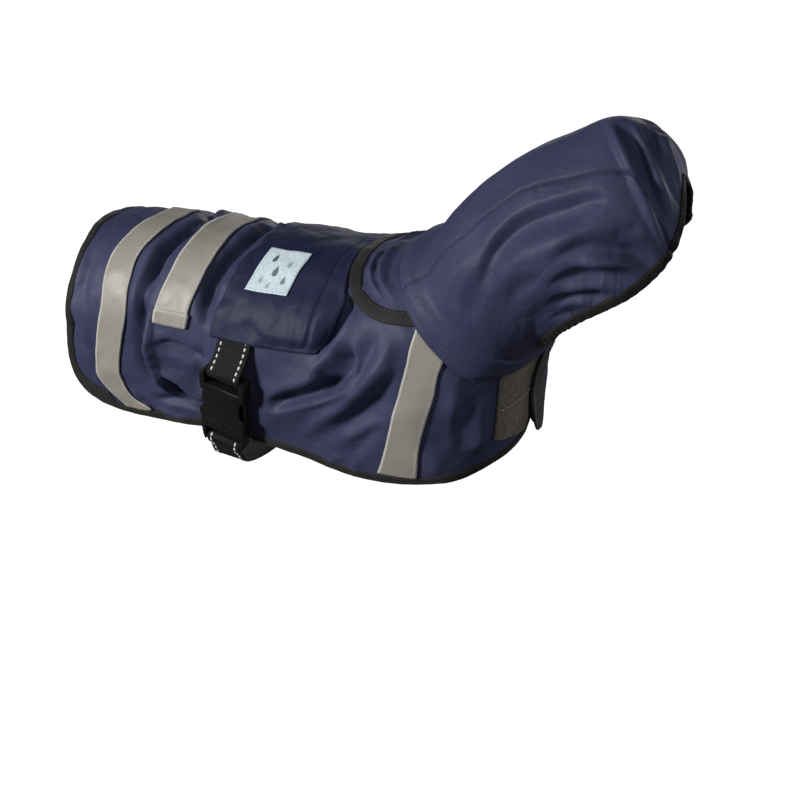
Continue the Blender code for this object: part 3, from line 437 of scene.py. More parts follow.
def inset_edge(distance):
    """The right half's cut edge moved in by a distance, square to the spine where it meets it."""
    if not distance:
        return EDGE
    over = 90
    path = np.concatenate([(EDGE * [1, -1])[over:0:-1], EDGE])
    moved = evened(BODY.inset(path, distance), 41)[over:]
    moved[0, 1] = 0
    return moved


def edge_at(inset=0.0):
    """(s, w) of the edge at the shared stations, moved in by a distance."""
    return np.stack([np.interp(STATIONS, EDGE_RUN, column) for column in inset_edge(inset).T], -1)


def both_sides(path):
    """The right half's path continued over the spine to the left half, left end first."""
    return np.concatenate([(path * [1, -1])[:0:-1], path])


def new_object(name, verts, faces, finish, uv=None):
    """An object from points in millimetres, with its cloth coordinates as a UV map in metres."""
    mesh = bpy.data.meshes.new(name)
    mesh.from_pydata((np.asarray(verts) * MM).tolist(), [], faces)
    if uv is not None:
        corner = np.empty(len(mesh.loops), int)
        mesh.loops.foreach_get("vertex_index", corner)
        mesh.uv_layers.new(name="cloth").data.foreach_set("uv", (uv[corner] * MM).ravel())
    mesh.shade_smooth()
    mesh.materials.append(finish)
    made = add_object(name, mesh)
    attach(made, "root")
    return made


def stand_for(piece, node):
    """Let a piece take its solid's place."""
    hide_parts(node)
    return piece


def two_faced(name, inner, outer, finish, uv):
    """Closed cloth between two grids of points, with a rim all round."""
    n, m = inner.shape[:2]
    low = np.arange(n * m).reshape(n, m)
    inside = np.stack([low[:-1, :-1], low[:-1, 1:], low[1:, 1:], low[1:, :-1]], -1).reshape(-1, 4)
    rim = np.concatenate([low[0], low[1:, -1], low[-1, -2::-1], low[-2:0:-1, 0]])
    after = np.roll(rim, -1)
    sides = np.stack([rim, rim + n * m, after + n * m, after], -1)
    faces = np.concatenate([inside, inside[:, ::-1] + n * m, sides])
    corner = outer[0, 0]
    if np.cross(outer[0, 1] - corner, outer[1, 0] - corner) @ (corner - inner[0, 0]) > 0:
        faces = faces[:, ::-1]
    verts = np.concatenate([inner.reshape(-1, 3), outer.reshape(-1, 3)])
    return new_object(name, verts, faces.tolist(), finish, np.tile(pair(*uv).reshape(-1, 2), (2, 1)))


def cloth(name, sheet, p, q, low, thick, finish, uv=None):
    """A piece of cloth on a sheet: its inner face at lift low, its outer face thick above."""
    p, q = np.broadcast_arrays(p, q)
    low = np.broadcast_to(low, p.shape)
    return two_faced(name, sheet.at(p, q, low), sheet.at(p, q, low + thick), finish, uv or (p, q))


class Wires:
    """A node tree, with a short way to put each kind of node in it."""

    def __init__(self, tree):
        self.tree = tree

    def put(self, kind, inputs, **settings):
        """The outputs of a new node, which is fed with sockets or values."""
        node = self.tree.nodes.new("ShaderNode" + kind)
        for key, value in settings.items():
            setattr(node, key, value)
        for slot, value in inputs.items():
            if hasattr(value, "links"):
                self.tree.links.new(value, node.inputs[slot])
            elif value is not None:
                node.inputs[slot].default_value = value
        return node.outputs

    def math(self, operation, *values):
        return self.put("Math", dict(enumerate(values)), operation=operation)[0]

    def split(self, place):
        return self.put("SeparateXYZ", {0: place})

    def noise(self, place, **inputs):
        return self.put("TexNoise", {"Vector": place, **inputs})["Fac"]

    def use(self, group, place, **inputs):
        return self.put("Group", {"Position": place, **inputs}, node_tree=group)

    def ramp(self, value, low, high):
        return self.put("MapRange", {"Value": value, "From Min": low, "From Max": high},
                        interpolation_type="SMOOTHSTEP")["Result"]

    def mix(self, share, first, second):
        """Colour between two colours or sockets."""
        colours = [(*c, 1) if isinstance(c, tuple) else c for c in (first, second)]
        return self.put("Mix", {0: share, 6: colours[0], 7: colours[1]}, data_type="RGBA")[2]

    def faded(self, worn, dark, light):
        return self.mix(self.ramp(worn["Fading"], 0.3, 0.7), dark, light)

    def dusted(self, worn, low, high, share, shade, dust):
        return self.mix(self.math("MULTIPLY", self.ramp(worn["Dust"], low, high), share), shade, dust)

    def bump(self, height, strength, distance, before=None):
        return self.put("Bump", {"Strength": strength, "Distance": distance, "Height": height,
                                 "Normal": before})["Normal"]

    def face(self, colour, rough, normal):
        """Link what the shader shows."""
        shader = self.tree.nodes["Principled BSDF"].inputs
        for title, value in (("Base Color", colour), ("Roughness", rough), ("Normal", normal)):
            if value is not None:
                self.tree.links.new(value, shader[title])


def new_group(name, inputs, build):
    """A shared effect. build takes its wires and inputs, and returns {output: socket}."""
    group = bpy.data.node_groups.new(name, "ShaderNodeTree")
    for title, value in inputs.items():
        kind = "NodeSocketVector" if isinstance(value, tuple) else "NodeSocketFloat"
        group.interface.new_socket(name=title, in_out="INPUT", socket_type=kind).default_value = value
    made = build(Wires(group), group.nodes.new("NodeGroupInput").outputs)
    for title in made:
        group.interface.new_socket(name=title, in_out="OUTPUT", socket_type="NodeSocketFloat")
    out = group.nodes.new("NodeGroupOutput").inputs
    for title, value in made.items():
        group.links.new(value, out[title])
    return group


def plain_weave(t, at):
    """Threads go over and under each other, `Threads` of them to the metre. Gap shade falls to 0 in
    the gaps between the threads, where nylon paints shade.
    """
    angle = t.math("MULTIPLY", at["Threads"], np.pi)
    place = t.split(at["Position"])
    over, under = (t.math("SINE", t.math("MULTIPLY", place[way], angle)) for way in "XY")
    bobble = t.math("MULTIPLY", over, under)
    return {"Height": t.math("MULTIPLY_ADD", bobble, 0.5, 0.5),
            "Gap shade": t.math("POWER", t.math("ABSOLUTE", bobble), 0.5)}


def handled_cloth(t, at):
    """Fine crumples, a cloudy fading, and specks of dust."""
    place = at["Position"]
    return {"Crumple": t.noise(place, Scale=at["Crumples"], Detail=3, Roughness=0.45, Distortion=0.6),
            "Fading": t.noise(place, Scale=16, Detail=2), "Dust": t.noise(place, Scale=900, Detail=1)}


weave = new_group("plain weave", {"Position": (0, 0, 0), "Threads": 1500.0}, plain_weave)
handled = new_group("handled cloth", {"Position": (0, 0, 0), "Crumples": 60.0}, handled_cloth)


def finish(name, roughness, **constants):
    """A new material, its wires, and the place on the cloth."""
    made = bpy.data.materials.new(name)
    made.use_nodes = True
    shader = made.node_tree.nodes["Principled BSDF"].inputs
    for title, value in {"Roughness": roughness, **constants}.items():
        shader[title.replace("_", " ")].default_value = value
    t = Wires(made.node_tree)
    return made, t, t.put("UVMap", {}, uv_map="cloth")["UV"]


def times(share, colour):
    return tuple(share * c for c in colour)


def nylon(name, dark, light):
    """Proofed nylon: a close weave with painted shade in the gaps between its threads, a soft violet
    sheen, fine crumples and slight fading.
    """
    made, t, place = finish(name, 0.5, Sheen_Weight=0.04, Sheen_Roughness=0.4,
                            Sheen_Tint=(0.45, 0.45, 0.95, 1), Specular_IOR_Level=0.16)
    threads, worn = t.use(weave, place, Threads=1700.0), t.use(handled, place, Crumples=60.0)
    # Painted shade: the gaps between the threads are darkened to 0.7 of the dark tone.
    shade = t.mix(t.ramp(threads["Gap shade"], 0.0, 0.5), times(0.7, dark), t.faded(worn, dark, light))
    t.face(t.dusted(worn, 0.62, 0.8, 0.25, shade, times(2.2, light)),
           t.math("MULTIPLY_ADD", worn["Fading"], 0.16, 0.46),
           t.bump(threads["Height"], 0.25, 0.00012, t.bump(worn["Crumple"], 0.5, 0.0024)))
    return made


NAVY = nylon("navy_nylon_worn_gap_shaded", (0.037, 0.039, 0.084), (0.050, 0.052, 0.108))
# Where the crosswise threads of some places on the hem meet the spine.
THREADS = columns("edge_s spine_s", "60 57, 112 110, 150 145, 188 171, 204 184, 219 200, 230 213")


def body_grid():
    """(s, w) of the body: rows run from hem to hem over the spine, and the first is the rear edge."""
    cut = edge_at(CLOTH_BACK)
    rear, hem = cut[:SIDE_CUTS + 1], cut[SIDE_CUTS:]
    start = rear[0, 0]
    hem_run = STATIONS[SIDE_CUTS:] - REAR_CORNER
    outline = edge_at()[SIDE_CUTS:, 0]
    known = [hem_run[np.argmin(np.abs(outline - s))] for s in THREADS["edge_s"]]
    spine = smooth(hem_run, [0, *known, hem_run[-1]], [start, *THREADS["spine_s"], NECK])
    share = np.linspace(0, 1, SIDE_CUTS + 1)
    grid = spread(pair(spine, 0), hem, share * (1.35 - 0.35 * share))
    grid = grid + (rear - grid[0]) * (1 - ease((spine - start) / 60))[:, None, None]
    grid[:, 0, 1] = 0
    return np.concatenate([(grid * [1, -1])[:, :0:-1], grid], 1)


coat_body = cloth("coat_body", BODY, *body_grid().transpose(2, 0, 1), -TOP, CLOTH, NAVY)
stand_for(coat_body, "body_panel")

# ---------------------------------------------------------------- binding of the cut edge
# A ribbed black tape is folded over the whole cut edge of the body and sewn through near its
# inner side. It runs from the tail along both hems and up the two fronts.
TAPE_WALL = 0.42
STITCH_IN = 1.3         # from the inner side of a binding to its stitches
HEM_HALF, HEM_SEWN = 1.1, 1.34      # half the folded tape's thickness, and its stitches' lift
CORNER_WIDTH = 15.0


def rib(name, colour, roughness, ribs, sheen, height=0.00018):
    """Woven black trim with fine ribs across it and lint on its high threads."""
    made, t, place = finish(name, roughness, Sheen_Weight=sheen, Sheen_Roughness=0.5,
                            Specular_IOR_Level=0.2)
    threads, worn = t.use(weave, place, Threads=1100.0), t.use(handled, place, Crumples=90.0)
    wave = t.math("SINE", t.math("MULTIPLY", t.split(place)["X"], 2 * np.pi * ribs))
    ribbed = t.math("MULTIPLY_ADD", wave, 0.5, t.math("MULTIPLY", threads["Height"], 0.6))
    shade = t.faded(worn, colour, times(1.7, colour))
    t.face(t.dusted(worn, 0.6, 0.85, 0.35, shade, times(5, colour)),
           t.math("MULTIPLY_ADD", worn["Dust"], 0.2, roughness - 0.1),
           t.bump(ribbed, 0.5, height, t.bump(worn["Crumple"], 0.3, 0.001)))
    return made


def thread(name, colour, roughness=0.6):
    """Sewing thread, twisted from plies."""
    made, t, _ = finish(name, roughness, Sheen_Weight=0.2)
    twist = t.use(handled, t.put("TexCoord", {})["Object"], Crumples=400.0)["Crumple"]
    t.face(t.mix(t.ramp(twist, 0.35, 0.65), times(0.75, colour), colour), None,
           t.bump(twist, 0.4, 0.0003))
    return made


BLACK = rib("black_trim_worn", (0.0095, 0.0088, 0.0072), 0.66, 900.0, 0.08)
NAVY_THREAD = thread("navy_thread", (0.006, 0.006, 0.014))
BLACK_THREAD = thread("black_thread", (0.018, 0.018, 0.017))


def folded_tape(name, node, sheet, edge, inner, width, half, middle, trim):
    """Tape folded over an edge: edge and inner are its paths on the sheet, half its half thickness."""
    # From the inner side to the fold, with the lift in shares of half.
    upper = [(width, 0.74), (width - 0.45, 1.0), (width * 0.66, 1.12), (width * 0.3, 1.1),
             (0.8, 0.98), (0.22, 0.72), (0, 0.3)]
    profile = np.array(upper + [(d, -lift) for d, lift in upper[::-1]]) * [1, half]
    way = unit(np.gradient(profile, axis=0))
    within = profile + TAPE_WALL * pair(-way[:, 1], way[:, 0])
    run = run_along(sheet.at(*edge.T))
    ripple = 1 + 0.07 * np.sin(run / 1.9 + 1.2 * np.sin(run / 13))[:, None]
    faces = []
    for shape in (within, profile):
        path = spread(edge, inner, shape[:, 0] / width)
        faces.append(sheet.at(*path.transpose(2, 0, 1), middle + shape[:, 1] * ripple))
    made = two_faced(name, *faces, trim, (run[:, None], run_along(profile)[None, :]))
    return stand_for(made, node)


def stitch_rows(name, rows, length, gap, width, finish_thread, high=0.5):
    """Short stitches lying on rows of (points, outward sides), as one mesh."""
    turn = np.arange(6) * np.pi / 3
    ring = pair(np.cos(turn), np.sin(turn) * high)
    stations = numbers("-0.5 0.3, -0.36 0.85, 0 1, 0.36 0.85, 0.5 0.3")
    pattern = [(6 * r + c, 6 * r + (c + 1) % 6, 6 * r + 6 + (c + 1) % 6, 6 * r + 6 + c)
               for r in range(4) for c in range(6)] + [range(5, -1, -1), range(24, 30)]
    verts, faces = [], []
    for points, outward in rows:
        run = run_along(points)
        count = max(1, int(run[-1] / (length + gap)))
        for middle in (np.arange(count) + 0.5) * (run[-1] / count):
            a, b, out = (np.array([np.interp(t, run, column) for column in field.T]) for t, field in (
                (middle - length / 2, points), (middle + length / 2, points), (middle, outward)))
            way = unit(b - a)
            out = unit(out - way * (out @ way))
            side = np.cross(out, way)
            faces += [[len(verts) + corner for corner in face] for face in pattern]
            for along, thick in stations:
                centre = (a + b) / 2 + way * along * length + out * (0.12 * width * (thick - 1))
                verts += [centre + (side * u + out * v) * thick * width / 2 for u, v in ring]
    made = new_object(name, verts, faces, finish_thread)
    return made


def on_sheet(sheet, path, lift):
    """Points along a path of a sheet at a lift, with the outward side at each."""
    return sheet.at(*path.T, lift), unit(sheet.read(sheet.out, *path.T))


rim = edge_at()
# 1 at the lower rear corner, where the binding is wider, and 0 elsewhere.
widened = (ease((rim[:, 1] - 118) / 34) * (1 - ease((rim[:, 0] - 42) / 3.5)))[:, None]


def hem_inner(back=0.0):
    """The tape's inner side, wider at the lower rear corner, moved back towards the edge."""
    plain = edge_at(HEM_WIDTH - back)
    return both_sides(plain + widened * (edge_at(CORNER_WIDTH - back) - plain))


hem_edge = both_sides(rim)
hem_binding = folded_tape("hem_tape", "hem_binding", BODY, hem_edge, hem_inner(), HEM_WIDTH,
                          HEM_HALF, 0.0, BLACK)
hem_stitches = stitch_rows("hem_stitches", [on_sheet(BODY, hem_inner(STITCH_IN), HEM_SEWN)],
                           2.3, 0.9, 0.5, BLACK_THREAD)
hem_length = run_along(BODY.at(*hem_edge.T))[-1] * MM

# ---------------------------------------------------------------- reflective tapes
# Four lengths of grey reflective tape are laid on the coat and sewn down along both edges: one
# right round the rump, one short piece with its ends turned under, and one down each front.
TAPE, TAPE_SEWN = 1.0, 1.5          # thickness, and how far in it is sewn
REAR_WIDTH, SHORT_WIDTH, FRONT_WIDTH = 21.0, 24.0, 20.0
SHORT_DROP, TURNED, TURNED_RISE = 82.0, 9.0, 0.9
ACROSS_TAPE = np.linspace(-0.5, 0.5, 17)[None, :]
REAR_LINE = columns("w s", """
    0 53, 20 50.5, 44 46.2, 58 48, 76 50.5, 100 46.5, 125 43.5, 138 46, 148 51.5, 158 60""")
SHORT_LINE = columns("w s", "0 98.5, 20 99.5, 50 97.5, 84 93.5")
FRONT_LINES = columns("down rear_s rear_w fore_s fore_w", """
    0 246.5 66 249.5 88, 0.08 244.1 71 243.5 97, 0.3 232.5 95 233.5 119, 0.65 215.1 129 221 144.5,
    1 199.6 166 211 173""")


def reflective(name, half_width):
    """Grey tape of fine glass beads, with paler sewn edges and rubbed patches."""
    made, t, place = finish(name, 0.55, Sheen_Weight=0.05, Specular_IOR_Level=0.25)
    threads, worn = t.use(weave, place, Threads=1300.0), t.use(handled, place, Crumples=70.0)
    margin = t.ramp(t.math("ABSOLUTE", t.split(place)["X"]), (half_width - 2.1) * MM,
                    (half_width - 1.2) * MM)
    face = t.faded(worn, (0.255, 0.240, 0.198), (0.310, 0.286, 0.250))
    face = t.dusted(worn, 0.5, 0.8, 0.3, face, (0.40, 0.39, 0.35))
    t.face(t.mix(margin, face, (0.42, 0.41, 0.37)), t.math("MULTIPLY_ADD", margin, 0.25, 0.42),
           t.bump(threads["Height"], 0.3, 0.0001, t.bump(worn["Crumple"], 0.3, 0.0014)))
    return made


GREY_THREAD = thread("grey_thread", (0.36, 0.35, 0.33))


def inner_hem(s, margin=HEM_WIDTH + SEAM):
    """w where a piece that runs down to the hem binding stops."""
    lower = inset_edge(margin)[EDGE_RUN > REAR_CORNER]
    return np.interp(s, *lower.T)


def edge_rows(s, w, width):
    """Two lines of sewing inside the long edges of a tape."""
    grid, rows = pair(s, w), []
    for share in (TAPE_SEWN / width, 1 - TAPE_SEWN / width):
        spot = share * (s.shape[1] - 1)
        i, part = int(spot), spot % 1
        rows.append(grid[:, i] * (1 - part) + grid[:, i + 1] * part)
    return rows


def tape_piece(name, node, s, w, width, thick, surface, rows):
    """A tape on the coat, sewn down along rows."""
    piece = cloth(name, BODY, s, w, LYING, thick, surface, (width * ACROSS_TAPE, w))
    sewing = stitch_rows(name + "_sewing", [on_sheet(BODY, row, LYING + TAPE + 0.06) for row in rows],
                         2.2, 0.8, 0.45, GREY_THREAD)
    stand_for(piece, node)


reach = inner_hem(66.0) - 0.5
w = np.linspace(-reach, reach, 300)[:, None]
away = np.abs(w)
s = follow(away, REAR_LINE, "s") + REAR_WIDTH * ACROSS_TAPE
# Towards the hem it splays, mostly backwards.
s = s + 6 * ease((away - 128) / 26) * (0.5 - ACROSS_TAPE)
s = s + 4 * ease((away - 145) / 12) * (0.5 + ACROSS_TAPE)
w = np.sign(w) * np.minimum(away, inner_hem(s))
tape_piece("rump_tape", "rear_tape", s, w, REAR_WIDTH, TAPE,
           reflective("rump_tape_grey", REAR_WIDTH / 2),
           edge_rows(s, w, REAR_WIDTH))

w = np.linspace(-SHORT_DROP, SHORT_DROP, 150)[:, None]
fold = SHORT_DROP - TURNED
end = ease((np.abs(w) - fold + 1.2) / 1.2)
s = follow(np.abs(w), SHORT_LINE, "s") + (SHORT_WIDTH + 1.2 * end) * ACROSS_TAPE + 0.8 * end
middle = follow(SHORT_DROP - TURNED / 2, SHORT_LINE, "s") + 0.8
half = SHORT_WIDTH / 2 - 1.4
first, last = fold + 0.9, SHORT_DROP - 1.5
corners = [(middle - half, first), (middle + half, first), (middle + half, last),
           (middle - half, last), (middle - half, first)]
back_tape_box = stitch_rows(
    "back_tape_box", [on_sheet(BODY, np.linspace(a, b, 12) * [1, side], LYING + TAPE + 0.96)
                      for side in (-1, 1) for a, b in zip(corners, corners[1:])],
    2.0, 0.7, 0.45, GREY_THREAD)
tape_piece("back_tape", "short_tape", s, w, SHORT_WIDTH, TAPE + TURNED_RISE * end + 0 * s,
           reflective("back_tape_grey", SHORT_WIDTH / 2),
           [row[np.abs(row[:, 1]) < fold - 1] for row in edge_rows(s, w, SHORT_WIDTH)])

t = np.linspace(0, 1, 110)
rear, fore = (pair(follow(t, FRONT_LINES, side + "_s"), follow(t, FRONT_LINES, side + "_w"))
              for side in ("rear", "fore"))
s, w = spread(rear, fore, 0.5 + ACROSS_TAPE[0]).transpose(2, 0, 1)
w = np.minimum(w, inner_hem(s))
front_grey = reflective("front_tape_grey", FRONT_WIDTH / 2)
for side, name in ((1, "right"), (-1, "left")):
    tape_piece("front_tape_of_the_" + name, "front_tape_" + name, s, side * w, FRONT_WIDTH, TAPE,
               front_grey, edge_rows(s, side * w, FRONT_WIDTH))

# ---------------------------------------------------------------- saddle panel
# A second layer of nylon is turned under all round and sewn over the back. The belt's ends come
# out from under it, so it stands a little off the coat, and its front hem is stitched wide.
BELT_LINE = columns("w s", "64 143.8, 82 143, 108 138.5, 129 136, 160 133")
SADDLE = columns("w rear_s front_s", """
    0 134.5 206, 16 135 206.5, 34 132 208.6, 43 131.3 209.5, 54 130.4 206, 68 128.5 199.5,
    82 127 191.5""")
SADDLE_SEAM = columns("w s", "0 199, 23 197, 44 195.5, 56 193, 70 190, 82 185.5")
SADDLE_DROP, SADDLE_PUFF, SADDLE_HEM = 82.0, 2.5, 11.0
SADDLE_CREASES = """
    -0.8 9 8: 173 36, 174 58, 175 76, 176 100
    -0.8 5 6: 187 40, 184.5 62, 181.5 92
    -0.9 8 8: 140 20, 139 40, 141 62, 140 76
    -0.9 6 6: 150 66, 156 74, 166 79
    0.8 7 7: 186 4, 190 22, 186 40
    -1.4 7 6: 172 -48, 174 -60, 175 -78
    -1 5 5: 185 -50, 184 -64, 181 -80
    -0.9 8 7: 140 -18, 138 -42, 141 -66
    0.8 6 7: 160 -30, 162 -46, 158 -60"""


def belt_middle(w):
    """s of the belt's middle line."""
    return follow(np.abs(w), BELT_LINE, "s")


def saddle_lift(s, w):
    """Lift of the saddle's inner face: sewn down at its edges, raised over the belt's ends."""
    away = np.abs(w)
    rear, front = follow(away, SADDLE, "rear_s"), follow(away, SADDLE, "front_s")
    inside = ease((s - rear) / SADDLE_HEM) * ease((front - s) / SADDLE_HEM)
    inside = inside * ease((SADDLE_DROP - away) / 9)
    mouth = ease((away - 56) / 10) * (1 - ease((np.abs(s - belt_middle(away)) - 13.5) / 8))
    puff = SADDLE_PUFF * (0.3 + 0.7 * ease((away - 40) / 18))
    room = puff * (1 - (1 - inside) * (1 - mouth))
    drop = creased(s, w, SADDLE_CREASES) + slack(s, w, 39, 0.14)
    seam = s - follow(away, SADDLE_SEAM, "s")
    groove = -1.5 * np.exp(-(seam / 1.1) ** 2) * ease(room / 0.5)
    pucker = 0.08 * np.sin(w / 1.15 + np.sin(w / 7)) * np.exp(-(seam / 2.2) ** 2)
    return LYING + room + np.maximum(drop + groove, -room) + pucker * ease(room / 0.6)


def on_saddle(s, w):
    """A row of stitches on the saddle's outer face."""
    return on_sheet(BODY, pair(s, w), saddle_lift(*np.broadcast_arrays(s, w)) + CLOTH + 0.02)


w = np.linspace(-SADDLE_DROP, SADDLE_DROP, 171)[:, None]
rear, front = (follow(np.abs(w), SADDLE, side) for side in ("rear_s", "front_s"))
s = rear + (front - rear) * np.linspace(0, 1, 76)[None, :]
w = np.broadcast_to(w, s.shape)
# Painted shade: the saddle's nylon is a darker copy of the body's, so that the top panel shows darker
# than the lights make it.
SHADED_SADDLE_NAVY = nylon("navy_nylon_double_shaded", (0.0135, 0.0165, 0.043), (0.0185, 0.022, 0.055))
saddle = cloth("saddle_cloth", BODY, s, w, saddle_lift(s, w), CLOTH, SHADED_SADDLE_NAVY)
stand_for(saddle, "saddle_panel")
w = np.linspace(-SADDLE_DROP + 2, SADDLE_DROP - 2, 220)
rear, front = (follow(np.abs(w), SADDLE, side) for side in ("rear_s", "front_s"))
rows = [on_saddle(line, w) for line in (follow(np.abs(w), SADDLE_SEAM, "s"), front - 1.8, rear + 2.0)]
drop = SADDLE_DROP - 2.2
line = np.linspace(follow(drop, SADDLE, "rear_s") + 2, follow(drop, SADDLE, "front_s") - 2, 90)
rows += [on_saddle(line, side * drop) for side in (-1, 1)]
saddle_sewing = stitch_rows("saddle_sewing", rows, 2.6, 0.5, 0.5, NAVY_THREAD)

# ---------------------------------------------------------------- woven label
# A pale woven label is sewn on the right of the saddle. It carries a plain pattern of falling
# drops, woven in grey-blue, and no words.
LABEL = numbers("147.5 18, 176.5 16.5, 172.8 49, 143.8 50")
LABEL_WALL, LABEL_LIFT = 0.7, CLOTH + 0.35
DROPS = numbers("""
    8.5 8 2.3 1, 20.5 11.5 1.9 0.55, 14 17.5 2.6 0.9, 7 24.5 1.8 0.45, 22 23 2.2 0.8,
    13.5 28 1.6 0.5""")      # across, down, size and strength


def woven_drop(t, at):
    """A drop that narrows upwards."""
    apart = t.put("VectorMath", {0: at["Position"], 1: at["Middle"]}, operation="SUBTRACT")[0]
    beside, up = (t.math("DIVIDE", t.split(apart)[way], at["Size"]) for way in "XY")
    narrow = t.math("MAXIMUM", t.math("MULTIPLY_ADD", up, 0.32, 0.72), 0.05)
    beside = t.math("DIVIDE", beside, narrow)
    radius = t.math("SQRT", t.math("ADD", t.math("MULTIPLY", beside, beside),
                                   t.math("MULTIPLY", t.math("MULTIPLY", up, up), 0.42)))
    return {"Mask": t.math("SUBTRACT", 1.0, t.ramp(radius, 0.8, 1.0))}


drop_print = new_group("woven drop", {"Position": (0, 0, 0), "Middle": (0, 0, 0), "Size": 0.002},
                       woven_drop)
PALE, tree, place = finish("pale_label_woven", 0.75, Sheen_Weight=0.25)
threads, worn = tree.use(weave, place, Threads=1500.0), tree.use(handled, place, Crumples=120.0)
ground = tree.mix(tree.ramp(worn["Dust"], 0.35, 0.75), (0.50, 0.60, 0.67), (0.72, 0.80, 0.84))
for x, y, size, strength in DROPS:
    mask = tree.use(drop_print, place, Middle=(x * MM, y * MM, 0), Size=size * MM)["Mask"]
    ground = tree.mix(tree.math("MULTIPLY", mask, strength), ground, (0.055, 0.085, 0.115))
tree.face(ground, tree.math("MULTIPLY_ADD", worn["Dust"], 0.2, 0.62),
          tree.bump(threads["Height"], 0.4, 0.00015, tree.bump(worn["Crumple"], 0.3, 0.0008)))

u, v = np.linspace(0, 1, 40), np.linspace(0, 1, 44)
upper, lower = (a * (1 - u[:, None]) + b * u[:, None] for a, b in (LABEL[:2], LABEL[:1:-1]))
s, w = spread(upper, lower, v).transpose(2, 0, 1)
label = cloth("woven_label", BODY, s, w, saddle_lift(s, w) + LABEL_LIFT, LABEL_WALL, PALE,
              (29 * u[:, None], 33 * v[None, :]))
stand_for(label, "label_patch")
border = LABEL.mean(0) + (LABEL - LABEL.mean(0)) * 0.925
rows = []
for a, b in zip(border, np.roll(border, -1, 0)):
    line = np.linspace(a, b, 24)
    rows.append(on_sheet(BODY, line, saddle_lift(*line.T) + LABEL_LIFT + LABEL_WALL + 0.04))
label_sewing = stitch_rows("label_sewing", rows, 1.7, 0.7, 0.4,
                           thread("pale_thread", (0.42, 0.50, 0.56)))

# ---------------------------------------------------------------- cape behind the hood
# A rounded half-moon of nylon hangs from the neck seam over the shoulders, in three soft pleats
# each side. Its lower edge is closed with the same black tape, cut wider.
CAPE = numbers("207 0, 207.5 16, 210 33, 215 45, 221 53, 231 61, 239 65, 245.5 68")
PLEATS = columns("outer_w neck_w breadth height", "10 8 7 0.5, 26 20 7 0.6, 43 33 6 0.6")
CAPE_WIDTH, CAPE_HALF, CAPE_SEWN = 9.0, 1.0, 2.18
CAPE_CREASES = """
    -1.6 4 4: 216 4, 217.5 24, 222 36, 231 48
    2 5 4: 221.5 -2, 221.5 18, 226 31, 237 47
    -1.8 4 3: 226 -8, 225.5 16, 229.5 31, 240 49
    3.2 4 7: 231 -16, 229 4, 229.5 18, 234 33, 246 56
    -1.8 5 6: 240 -12, 239 12, 241 30, 248 46
    -1.7 4 4: 217 -8, 219 -24, 228 -42
    2.4 4 4: 224 -4, 225 -20, 231 -36, 241 -52
    -2 4 4: 231 -6, 232 -20, 238 -36, 246 -48"""


def cape_inset(distance):
    """(s, w) of the cape's edge moved in by a distance, on both sides."""
    moved = BODY.inset(cape_edge, distance)
    moved[len(moved) // 2, 1] = 0
    return evened(moved, 5)


cape_edge = both_sides(through(CAPE, 80, run_along(BODY.at(*CAPE.T))))
outer = cape_inset(1.7)
seam = pair(NECK - 0.2, cape_inset(CAPE_WIDTH + SEAM)[:, 1] * 0.94)
share = np.linspace(0, 1, 46)
s, w = spread(outer, seam, share).transpose(2, 0, 1)
rise = creased(s, w, CAPE_CREASES)
for outer_w, neck_w, breadth, height in zip(*PLEATS.values()):
    beside = (np.abs(w) - outer_w - (neck_w - outer_w) * share) / breadth
    rise = rise + height * np.cos(np.pi / 2 * np.clip(beside, -1, 1)) ** 2
in_tape = 1 - ease((share * np.linalg.norm(seam - outer, axis=1)[:, None] - 6.8) / 4.0)
rise = rise * (1 - in_tape) * ease((NECK - 6 - s) / 12) * ease((64 - np.abs(w)) / 12)
cape = cloth("cape", BODY, s, w, LYING + np.maximum(rise + 0.42 * in_tape, 0), CLOTH - 0.1 * in_tape,
             NAVY)
stand_for(cape, "nape_flap")
cape_binding = folded_tape("cape_tape", "nape_flap_binding", BODY, cape_edge, cape_inset(CAPE_WIDTH),
                           CAPE_WIDTH, CAPE_HALF, LYING + CAPE_HALF, BLACK)
cape_row = on_sheet(BODY, cape_inset(CAPE_WIDTH - 1.4), LYING + CAPE_SEWN)
cape_sewing = stitch_rows("cape_sewing", [cape_row], 2.3, 0.9, 0.5, BLACK_THREAD)
cape_length = run_along(BODY.at(*cape_edge.T))[-1] * MM

# ---------------------------------------------------------------- closing of the chest
# A patch of black loop tape is sewn on the right front, against the binding. A stiff hook tab
# comes from the left front's throat, crosses both bindings and presses on to it.
LOOP_REAR = numbers("247.5 126, 233 169.5")
PILE, ON_PILE = 1.4, LYING + 1.4
TAB = columns("t s half_width rise", """
    0 249.5 9 0, 1 245.5 9.5 0.1, 2 241 9.5 0.4, 3 237 8.5 1.6, 4 234 6 3.2, 5 232.4 2.4 4.4""")
TAB_SEAT, TAB_WALL = 1.1 + 0.6, 1.8
t = np.linspace(0, 1, 60)
rear = LOOP_REAR[0] + (LOOP_REAR[1] - LOOP_REAR[0]) * t[:, None]
# The patch's front side follows the binding from the neck to the front's lower corner.
last = np.argmin(np.linalg.norm(EDGE - [231.8, front_line(231.8) - 6], axis=1))
first = np.argmin(np.abs(EDGE[:, 0] - 249) + (EDGE_RUN < EDGE_RUN[last]) * 1e3)
fore = inset_edge(HEM_WIDTH + 2 * SEAM)[(first + (last - first) * t).astype(int)]
grid = spread(rear, fore, np.linspace(0, 1, 40))
s, w = grid.transpose(2, 0, 1)

